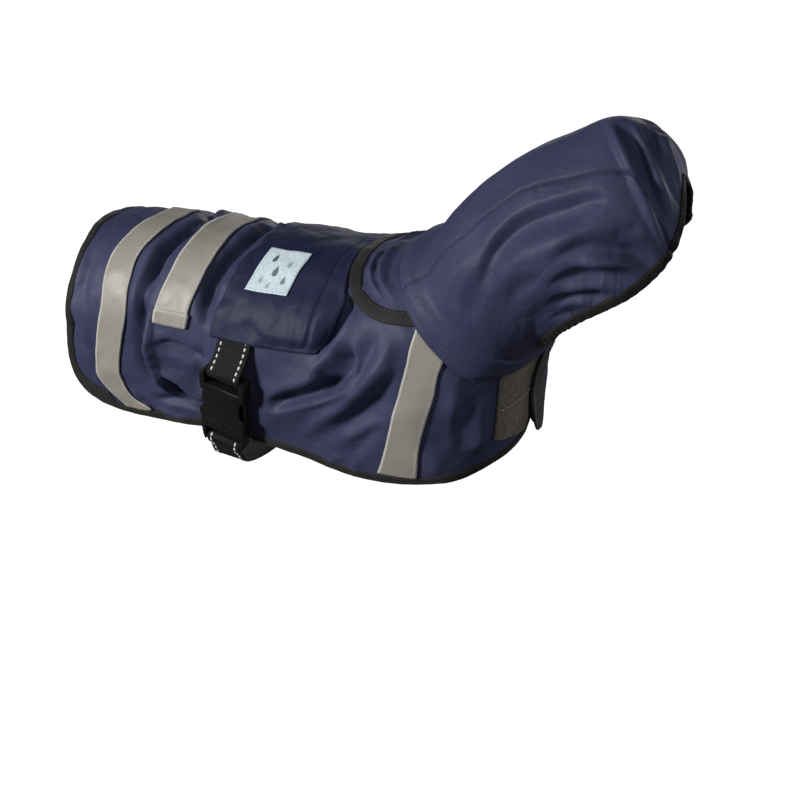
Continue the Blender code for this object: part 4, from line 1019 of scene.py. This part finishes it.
LOOPS, tree, place = finish("black_loop_tape", 0.85, Sheen_Weight=0.6, Sheen_Roughness=0.4,
                            Sheen_Tint=(0.6, 0.55, 0.45, 1), Specular_IOR_Level=0.2)
worn, pile = tree.use(handled, place, Crumples=160.0), tree.noise(place, Scale=1600, Detail=2)
tree.face(tree.mix(tree.ramp(pile, 0.35, 0.7), (0.050, 0.045, 0.037), (0.17, 0.155, 0.13)),
          tree.math("MULTIPLY_ADD", worn["Fading"], 0.2, 0.72),
          tree.bump(pile, 0.8, 0.0006, tree.bump(worn["Crumple"], 0.4, 0.001)))

loop_patch = cloth("loop_tape", BODY, s, w, LYING, PILE + slack(s, w, 4.0, 0.10), LOOPS)
stand_for(loop_patch, "loop_patch")
join = np.linspace(grid[36, 2], grid[24, 37], 30)
loop_join = stitch_rows("loop_join", [on_sheet(BODY, join, ON_PILE + 0.85)], 3.2, 0.3, 0.9,
                        thread("pale_join_thread", (0.36, 0.34, 0.30)))
loop_sewing = stitch_rows("loop_sewing", [on_sheet(BODY, grid[:, k], ON_PILE + 0.1) for k in (2, 36)],
                          2.0, 0.7, 0.5, thread("grey_black_thread", (0.09, 0.085, 0.075)))

t = np.linspace(0, 5, 60)[:, None]
s, half_width, rise = (follow(t, TAB, column) for column in ("s", "half_width", "rise"))
across = half_width * np.linspace(-1, 1, 31)[None, :]
w = front_line(s) + FRONT_GAP + across
s = np.broadcast_to(s, w.shape)
step = ON_PILE + 0.6 - TAB_SEAT
tab_lift = TAB_SEAT + step * ease((-across - 2.5) / 4.5) + rise
WEB = rib("black_webbing_tab", (0.010, 0.010, 0.010), 0.55, 700.0, 0.1, 0.00025)
tab = cloth("hook_tab", BODY, s, w, tab_lift, TAB_WALL, WEB)
stand_for(tab, "front_tab")
tab_sewing = stitch_rows(
    "tab_sewing", [on_sheet(BODY, pair(s[:44, k], w[:44, k]), tab_lift[:44, k] + TAB_WALL + 0.06)
                   for k in (3, 27)], 2.0, 0.8, 0.5, BLACK_THREAD)

# ---------------------------------------------------------------- hood
# The hood is three panels of the same nylon: a side for each cheek and a long gusset over the
# crown. It is turned under and laps over the neck seam, and its face edge is drawn in.
HOOD = columns("top_x top_z foot_x foot_z half_width crown point bow", """
    94 35 173.4 -20.7 56 50 1 0, 106 53 173.8 -19.8 58 50 1 0, 125 76.5 174.3 -18.9 59 50 1 2,
    150 101.5 174.7 -17.9 59 52 1.05 5, 181 124 175.2 -16.9 58 55 1.1 9,
    212 141 175.7 -15.8 56 58 1.25 14, 235 134.5 176.2 -14.6 53 60 1.35 20,
    252 110 176.8 -13.4 49 58 1.45 24""")
HOOD_LAP = columns("w back lift", """
    0 6 4.4, 20 6 4.4, 37 4 4.4, 64 5 4.4, 84 6 2.9, 98 6.5 2.8, 112 5 2.8, 125 3 2.7, 140 1.2 2.7,
    165 0.8 2.7""")
AROUND, HALF_ROUND = 221, 185       # steps in the half round, and its length
SEAM_LINES = columns("h a", """
    0 0.27, 0.1 0.258, 0.3 0.25, 0.42 0.22, 0.52 0.188, 0.66 0.185, 0.8 0.158, 0.9 0.195, 1 0.215""")
SEAM_SHARE, SEAM_LAP, TUCK_STEP = 0.0006, 0.024, 0.0065     # in shares of the half round
SIDE_END = 0.9985
GATHERS = 8
BRIM_LEAN = np.array([-12.0, -3.0, -4.0])
# Creases in hundredths of the way to the face and of the way round from the crown.
HOOD_CREASES = """
    -6.5 13 4.5: 36 47, 40 40, 45.5 34, 51 30.5, 58 28.4, 66 26.6, 76 25, 84 25
    -1.8 7 7: 19 52, 36 45, 50 42
    1.6 7 7: 16 38, 28 36, 40 32
    1.8 6 6: 50 41, 60 37, 70 35.5, 78 37
    -1.6 6 6: 48 56, 60 50, 70 48
    4.2 26 26: 63 28, 67 39, 70 48, 73 57, 77 66
    -5.6 5 6: 67 42.5, 76 38, 84 34.8, 91 31.5, 101 27.5
    2.4 3 3.4: 75 43.5, 80 41, 86 38, 92 34, 98 31
    -4.2 4 4.4: 70 52, 79 47, 85 43.5, 92 38.5, 100 34
    2.2 3.5 3.5: 77 53, 83 50, 89 46, 95 42
    -3.2 4 4: 74 60, 84 54, 90 49.5, 99 44
    1.6 3 3: 81 61, 88 56, 95 51
    -2.2 3.4 3.4: 80 67, 90 61, 98 55
    -1.6 3 3: 81 32, 84 29, 88 25
    5 2 3.2: 69 -2, 73.5 6, 77 11.5, 79.5 15, 82 17.6, 84.5 19.6, 88 21.6, 92 22.6, 100 23
    -3.4 2.6 2.8: 76 1, 80.5 7, 83 11.5, 86 15, 90 17, 98 18
    2.6 3.4 2.8: 77 -3, 79.5 3, 82.5 6.8, 85 10.5, 88 12.6, 95 14
    -2.4 3 2.6: 82 -3, 87 5, 92 8.6, 99 9.6
    1.8 3 2.6: 84 -6, 90 1, 98 4.6
    -4.6 9 5: 38 -46, 44 -37, 52 -31.5, 61 -28.5, 74 -26
    1.6 6 6: 44 -46, 52 -40, 64 -34
    -1.8 7 6: 20 -50, 36 -46, 50 -43
    -3.8 3.6 3.6: 70 -45, 80 -38, 88 -32, 98 -26.5
    2.8 3.2 3.2: 74 -47, 86 -39, 98 -30
    -3.4 3.2 3.2: 75 -55, 84 -46, 96 -35
    2.4 3 3: 79 -56, 89 -46, 97 -39
    -2.8 3 3: 82 -63, 90 -54, 98 -45
    -2.4 3 3: 81 -71, 91 -63, 98 -55
    3.2 3.2 3: 73 -6, 81 -15, 88 -20.5, 98 -21
    -2.8 2.8 2.8: 76 -5, 85 -13.5, 96 -17
    2.6 2.8 2.6: 79 -1, 86 -9, 97 -13"""


def seam_line(h):
    """a of the seam between the crown panel and a side."""
    return follow(h, SEAM_LINES, "a")


def hood_net():
    """The hood's sheet over h, from the neck to the face, and a, round from the crown."""
    rows = []
    share = np.linspace(0, 1, 240)
    w = share * front_line(NECK)
    back, lift = (follow(w, HOOD_LAP, column) for column in ("back", "lift"))
    swell = 1 - 0.8 * ease((w - 105) / 50)
    for part, rise in ((1.0, 0.0), (0.5, 1.2), (0.05, 2.6)):
        s = NECK - back * part
        rows.append(BODY.at(s, share * front_line(s), lift + TOP + rise * swell))
    for top_x, top_z, foot_x, foot_z, half_width, crown, point, bow in zip(*HOOD.values()):
        tilt = np.degrees(np.arctan2(foot_x - top_x, top_z - foot_z))
        depth = np.hypot(foot_x - top_x, top_z - foot_z)
        rows.append(ring_half(top_x, top_z, tilt, half_width, crown, depth, point, bow))
    rows = np.array([through(row, AROUND, None, np.interp) for row in rows])
    rows[:, 0, 1] = 0
    along = run_along(rows[:, AROUND // 3])
    h, a = np.linspace(0, 1, 241), np.linspace(-1, 1, 2 * AROUND - 1)
    net = np.stack([np.stack([smooth(h, along / along[-1], rows[:, j, k]) for k in range(3)], -1)
                    for j in range(AROUND)], 1)
    net = np.concatenate([(net * [1, -1, 1])[:, :0:-1], net], 1)
    left = (ease(-a / 0.2) * ease((0.75 + a) / 0.5))[None, :, None]
    plain = Sheet(h, a, net + BRIM_LEAN * ease((h - 0.5) / 0.5)[:, None, None] * left)
    h, a = h[:, None], a[None, :]
    away = np.abs(a)
    wave = np.sin(np.pi * (2 * GATHERS * away + 0.3)) * ease((0.78 - away) / 0.2)
    height = 0.5 * wave * ease((h - 0.72) / 0.2) * (1 - 0.6 * ease((h - 0.95) / 0.05))
    height = height + creased(100 * h, 100 * a, HOOD_CREASES) * ease((0.78 - away) / 0.3)
    loose = ease((h - 0.04) / 0.1) * ease((0.66 - away) / 0.36)
    height = height + loose * (slack(100 * h, 100 * a, 27, 0.55) + slack(100 * a, 100 * h, 11, 0.18))
    drawn = np.sin(2 * np.pi * (29 * away + 0.5 * np.sin(19 * a))) * (0.7 + 0.5 * np.sin(9 * a + 1))
    drawn = drawn * ease((0.95 - away) / 0.1) * ease((away - 0.1) / 0.15)
    height = height + 0.5 * drawn * ease((h - 0.88) / 0.09)
    aside = (away - seam_line(h)) * HALF_ROUND
    pucker = np.sin(205 * h + 3 * np.sin(31 * h)) * (0.6 + 0.4 * np.sin(23 * h + np.sign(a)))
    height = height + 0.32 * pucker * np.exp(-(aside / 4.0) ** 2) - 1.1 * np.exp(-(aside / 1.4) ** 2)
    return plain.raised(height)


HOODED = hood_net()


def face_inset(a, distance):
    """h at which the line a lies a distance back from the face edge, along the cloth."""
    rows = np.array([np.interp(distance, run_along(line), HOODED.p[::-1])
                     for line in HOODED.net[::-1].transpose(1, 0, 2)])
    return np.interp(a, HOODED.q, evened(rows[:, None], 7)[:, 0])


# Distances along the hood's cloth, from the neck and from the crown.
CLOTH_RUN = np.stack([
    np.stack([run_along(line) for line in HOODED.net.transpose(1, 0, 2)], 1),
    np.stack([run_along(line) for line in HOODED.net])], -1)
CLOTH_RUN[..., 1] -= CLOTH_RUN[:, AROUND - 1, 1][:, None]


def hood_panel(name, node, first, last, cuts, tuck=0.0):
    """A panel between two lines of the hood; a tucked one goes under its neighbours' edges."""
    h = np.concatenate([np.linspace(0, 0.1, 12)[:-1], np.linspace(0.1, 1, 130)])[:, None]
    first, last = first(h), last(h)
    a = first + (last - first) * np.linspace(0, 1, cuts)[None, :]
    h = h * face_inset(a, CLOTH_BACK)
    under = ease((np.abs(a) - seam_line(h)) / TUCK_STEP + 1)
    runs = HOODED.read(CLOTH_RUN, h, a)
    made = cloth(name, HOODED, h, a, -TOP - tuck * under, CLOTH, NAVY, (runs[..., 0], runs[..., 1]))
    stand_for(made, node)
    return made


hood_right = hood_panel("hood_side_right", "hood_right", lambda h: seam_line(h) + SEAM_SHARE,
                        lambda h: SIDE_END, 150)
hood_gusset = hood_panel("hood_crown", "hood_gusset", lambda h: -seam_line(h) - SEAM_LAP,
                         lambda h: seam_line(h) + SEAM_LAP, 96, 1.4)
hood_left = hood_panel("hood_side_left", "hood_left", lambda h: -SIDE_END,
                       lambda h: -seam_line(h) - SEAM_SHARE, 150)
h = np.linspace(0.012, 0.955, 200)
rows = [pair(h, side * (seam_line(h) + beside)) for side in (-1, 1) for beside in (-0.012, 0.012)]
rows.append(pair(0.022, np.linspace(-0.97, 0.97, 500)))
hood_sewing = stitch_rows("hood_sewing", [on_sheet(HOODED, row, TOP + 0.02) for row in rows],
                          2.6, 0.6, 0.55, NAVY_THREAD)

# ---------------------------------------------------------------- elastic round the face
# A soft black elastic tape is folded over the face edge and sewn on stretched, so that the edge
# draws in and gathers the hood round the dog's face.
ELASTIC = rib("black_elastic", (0.0045, 0.0045, 0.004), 0.7, 620.0, 0.05, 0.0002)
FACE_WIDTH, FACE_HALF, FACE_SEWN = 6.5, 1.12, 1.36
a = np.linspace(-SIDE_END, SIDE_END, 420)
face_edge = pair(1 - 0.0005 * np.cos(a * 180), a)
face_binding = folded_tape("face_elastic", "face_binding", HOODED, face_edge,
                           pair(face_inset(a, FACE_WIDTH), a), FACE_WIDTH, FACE_HALF, 0.0, ELASTIC)
face_row = on_sheet(HOODED, pair(face_inset(a, FACE_WIDTH - STITCH_IN), a), FACE_SEWN)
face_sewing = stitch_rows("face_sewing", [face_row], 1.9, 0.8, 0.45, BLACK_THREAD)
face_length = run_along(HOODED.at(*face_edge.T))[-1] * MM

# ---------------------------------------------------------------- belt
# The belt is flat black webbing, an inch wide, sewn under both sides of the saddle. Two rows of
# bright stitches run along it. The right end loops round the socket's bar, and the left goes down
# the side and under the belly to the plug.
DRAFT = body_net(False)[0]
BUCKLE_W, BUCKLE_LIFT = 129.0, 7.2
BAR, SOCKET_BAR_Y, PLUG_BAR_Y = 2.6, 24.8, -29.2
WEBBING, WEBBING_WIDTH, WEBBING_STEP = 1.5, 25.0, 1.1
LOOP = BAR * 0.7071 + 0.35 + WEBBING / 2
STRAP_LIFT = LYING + WEBBING / 2
STITCH_ROW = 9.2        # from the middle of the webbing to a row of stitches
BELLY_LEVEL = -151.5    # z of the belt at its lowest
INSIDE = np.array([-25.0, 0.0, -70.0])      # a place inside the coat
CLIMB = columns("w lift", "68 0, 80 0.3, 88 1.6, 95 4.4")
# Places across the webbing, and its half thickness there in shares of the whole.
PROFILE = columns("place half", """
    -1 0.35, -0.985 0.8, -0.94 1.03, -0.86 1.05, -0.75 1, -0.5 0.97, -0.25 0.97, 0 0.97, 0.25 0.97,
    0.5 0.97, 0.75 1, 0.86 1.05, 0.94 1.03, 0.985 0.8, 1 0.35""")
buckle_s = belt_middle(BUCKLE_W)
MIDDLE = DRAFT.at(buckle_s, BUCKLE_W, BUCKLE_LIFT)
above, below = (DRAFT.at(belt_middle(w), w) for w in (BUCKLE_W - 20, BUCKLE_W + 20))
UP = unit(above - below)
ACROSS = unit(np.cross(UP, DRAFT.read(DRAFT.out, buckle_s, BUCKLE_W)))
OUT = np.cross(ACROSS, UP)

BELT_BLACK, tree, place = finish("black_webbing", 0.6, Sheen_Weight=0.02, Specular_IOR_Level=0.1)
worn, way = tree.use(handled, place, Crumples=120.0), tree.split(place)
zigzag = tree.math("FRACT", tree.math("MULTIPLY", way["X"], 320.0))
zigzag = tree.math("MULTIPLY", tree.math("ABSOLUTE", tree.math("SUBTRACT", zigzag, 0.5)), 1.6)
slant = tree.math("ADD", zigzag, tree.math("MULTIPLY", way["Y"], 720.0))
twill = tree.math("ABSOLUTE", tree.math("SINE", tree.math("MULTIPLY", slant, np.pi)))
tree.face(tree.mix(tree.ramp(twill, 0.1, 0.8), (0.004, 0.004, 0.0035), (0.010, 0.0095, 0.008)),
          tree.math("MULTIPLY_ADD", worn["Dust"], 0.25, 0.42),
          tree.bump(twill, 0.6, 0.0003, tree.bump(worn["Crumple"], 0.3, 0.001)))
BRIGHT_THREAD = thread("bright_thread", (0.82, 0.81, 0.77), 0.45)


def in_buckle(y, z):
    """A point on the buckle's middle line, y up along the belt and z outwards."""
    return MIDDLE + UP * y + OUT * z


def loop_points(bar_y, toward):
    """The belt's turn round a bar."""
    return [in_buckle(bar_y - toward * LOOP * np.sin(turn), LOOP * np.cos(turn))
            for turn in np.linspace(0, np.pi, 13)]


def webbing(name, node, middle, across):
    """Flat webbing along a line of points, with a rounded edge."""
    middle, across = np.array(middle), np.array(across)
    run = run_along(middle)
    t = np.linspace(0, run[-1], int(run[-1] / WEBBING_STEP))
    middle = np.stack([smooth(t, run, column) for column in middle.T], -1)
    across = unit(np.stack([np.interp(t, run, column) for column in across.T], -1))
    way = unit(np.gradient(middle, axis=0))
    across = unit(across - way * (across * way).sum(-1, keepdims=True))
    out = np.cross(across, way)
    out = out * np.sign((out * unit(middle - INSIDE)).sum(-1).mean())
    place = PROFILE["place"] * WEBBING_WIDTH / 2
    grid = middle[:, None] + across[:, None] * place[None, :, None]
    thick = out[:, None] * (WEBBING / 2 * PROFILE["half"])[None, :, None]
    strap = two_faced(name, grid - thick, grid + thick, BELT_BLACK, (place[None, :], t[:, None]))
    return stand_for(strap, node), middle, across, out


def belt_across(w):
    """The way across the belt where it lies on the coat."""
    return DRAFT.at(belt_middle(w) + 5, w) - DRAFT.at(belt_middle(w) - 5, w)


down = np.linspace(68, 94, 10)
middle = [DRAFT.at(belt_middle(w), w, STRAP_LIFT + follow(w, CLIMB, "lift")) for w in down]
ends = [*loop_points(SOCKET_BAR_Y, 1), in_buckle(SOCKET_BAR_Y + 3.5, -LOOP - 0.1)]
belt_right = webbing("belt_right", "strap_right", middle + ends,
                     [belt_across(w) for w in down] + [ACROSS] * len(ends))

down = np.linspace(-68, -150, 24)
middle = [BODY.at(belt_middle(w), w, STRAP_LIFT + 0.5 * ease((-120 - w) / 30)) for w in down]
across = [belt_across(w) for w in down]
start, last = middle[-1], in_buckle(PLUG_BAR_Y - 7.5, -0.6)
for turn in np.radians(np.linspace(12, 158, 15)):
    x, _, z = start + (last - start) * turn / np.pi
    y = (start[1] + last[1]) / 2 + (start[1] - last[1]) / 2 * np.cos(turn)
    middle.append(np.array([x, y, z + (BELLY_LEVEL - z) * np.sin(turn) ** 0.75]))
    across.append(np.array([1.0, 0.0, 0.0]))
ends = [last, in_buckle(PLUG_BAR_Y - 4.0, LOOP * 0.72), *loop_points(PLUG_BAR_Y, -1),
        in_buckle(PLUG_BAR_Y - 3.2, -LOOP - 0.1)]
belt_left = webbing("belt_left", "strap_left", middle + ends, across + [ACROSS] * len(ends))

for (strap, middle, across, out), unsewn in ((belt_right, 14.5), (belt_left, 9.0)):
    sewn = slice(3, len(middle) - int(unsewn / WEBBING_STEP))
    lifted = middle + out * (WEBBING / 2 + 0.12)
    rows = [((lifted + across * beside)[sewn], out[sewn]) for beside in (-STITCH_ROW, STITCH_ROW)]
    bright = stitch_rows(strap.name + "_stitches", rows, 2.7, 1.3, 1.5, BRIGHT_THREAD,
                         0.6)
    float(run_along(middle)[-1] * MM)

# ---------------------------------------------------------------- buckle
# A side-release buckle moulded in black acetal. The plug's two sprung arms sit in the socket's
# side notches, and each half holds the belt on a bar. It is fastened.
SOCKET_TOP, SOCKET_END, PLUG_END = 27.0, -12.0, -32.0
WINDOW, CLEAR = 13.2, 9         # half the window's width, and a cut that goes right through
SOCKET_SIDE = numbers("""
    12.5 27, 14.6 26.6, 16.2 25.4, 17 23.4, 17 12.8, 16.6 11.6, 15 10.8, 13.9 9.6, 13.4 8,
    13.4 -1.2, 13.9 -2.8, 15.2 -3.9, 16.7 -4.6, 17.2 -5.8, 17 -9, 16.5 -12""")
PLUG_SIDE = numbers("""
    15.6 -12.4, 16.4 -13.2, 16.6 -16, 16.2 -21, 15.2 -28, 14 -31.2, 12.6 -32""")
ARM = numbers("""
    9.8 -13.5, 10.4 -8, 12.2 -3.5, 14 0, 14.6 4, 14.2 7.6, 12.6 10.2, 13.8 10.6, 15.8 8.6, 16.8 5.2,
    16.9 0.6, 16 -3.2, 14.4 -7.4, 13.4 -13.5""")

PLASTIC, tree, _ = finish("black_acetal", 0.34, Specular_IOR_Level=0.45)
place = tree.put("TexCoord", {})["Object"]
scuffs = tree.noise(place, Scale=700, Detail=4)
tree.face(tree.mix(tree.ramp(scuffs, 0.55, 0.8), (0.0075, 0.0075, 0.0075), (0.020, 0.020, 0.019)),
          tree.math("MULTIPLY_ADD", scuffs, 0.3, 0.2),
          tree.bump(tree.use(handled, place, Crumples=300.0)["Dust"], 0.12, 0.0002))


def block(outline, low, high):
    """A block in the buckle's own axes: an outline between two heights."""
    n = len(outline)
    verts = np.concatenate([np.c_[outline, np.full(n, z)] for z in (low, high)])
    mesh = bpy.data.meshes.new("block")
    mesh.from_pydata((verts * MM).tolist(), [], [range(n), range(2 * n - 1, n - 1, -1)] + [
        (k, k + n, (k + 1) % n + n, (k + 1) % n) for k in range(n)])
    work = bmesh.new()
    work.from_mesh(mesh)
    bmesh.ops.recalc_face_normals(work, faces=work.faces)
    work.to_mesh(mesh)
    work.free()
    return add_object("block", mesh)


def plate(side, low, high):
    """A block from the right side of its outline."""
    return block(np.concatenate([side, (side * [-1, 1])[::-1]]), low, high)


def bar(half_width, y0, y1, low, high):
    return plate(np.array([(half_width, y1), (half_width, y0)]), low, high)


def moulded(name, node, base, joins, cuts, rounding):
    """Join and cut the blocks, round every edge, and set the moulding in its place."""
    for operation, others in (("UNION", joins), ("DIFFERENCE", cuts)):
        for other in others:
            step = base.modifiers.new("step", "BOOLEAN")
            step.operation, step.object, step.solver = operation, other, "EXACT"
    edge = base.modifiers.new("edge", "BEVEL")
    edge.width, edge.segments = rounding * MM, 3
    edge.limit_method, edge.angle_limit = "ANGLE", np.radians(32)
    bpy.context.view_layer.update()
    mesh = bpy.data.meshes.new_from_object(base.evaluated_get(bpy.context.evaluated_depsgraph_get()))
    for other in (base, *cuts, *joins):
        bpy.data.objects.remove(other, do_unlink=True)
    turn = np.eye(4)
    turn[:3] = np.stack([ACROSS, UP, OUT, MIDDLE * MM], 1)
    mesh.transform(Matrix(turn.tolist()))
    mesh.materials.clear()
    mesh.materials.append(PLASTIC)
    mesh.shade_smooth()
    mesh.set_sharp_from_angle(angle=np.radians(45))
    made = add_object(name, mesh)
    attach(made, "root")
    stand_for(made, node)


def bar_cuts(inner, bar_inner, outer, bar_outer, window_end):
    """Cuts that leave a round bar between a window and the open end."""
    return [bar(WINDOW, *sorted((window_end, bar_inner)), -CLEAR, CLEAR),
            bar(WINDOW, *sorted((inner, outer)), BAR / 2, CLEAR),
            bar(WINDOW, *sorted((inner, outer)), -CLEAR, -BAR / 2),
            bar(WINDOW, *sorted((bar_outer, outer)), -CLEAR, CLEAR)]


slot_top, slot_low = SOCKET_BAR_Y - BAR / 2, PLUG_BAR_Y + BAR / 2
moulded("buckle_socket_moulding", "buckle_socket", plate(SOCKET_SIDE, -4.5, 4.5), [],
        bar_cuts(slot_top - 1, slot_top, SOCKET_TOP + 3, SOCKET_BAR_Y + BAR / 2, 16.5)
        + [bar(15.4, SOCKET_END - 3, 12.3, -2.6, 2.6)], 0.55)
arms = [block(ARM * [side, 1], -2.0, 2.0) for side in (-1, 1)]
moulded("buckle_plug_moulding", "buckle_plug", plate(PLUG_SIDE, -4.0, 4.0),
        arms + [bar(2.2, SOCKET_END - 2, 8.0, -1.8, 1.8)],
        bar_cuts(slot_low + 1, slot_low, PLUG_END - 3, PLUG_BAR_Y - BAR / 2, -20.5), 0.5)
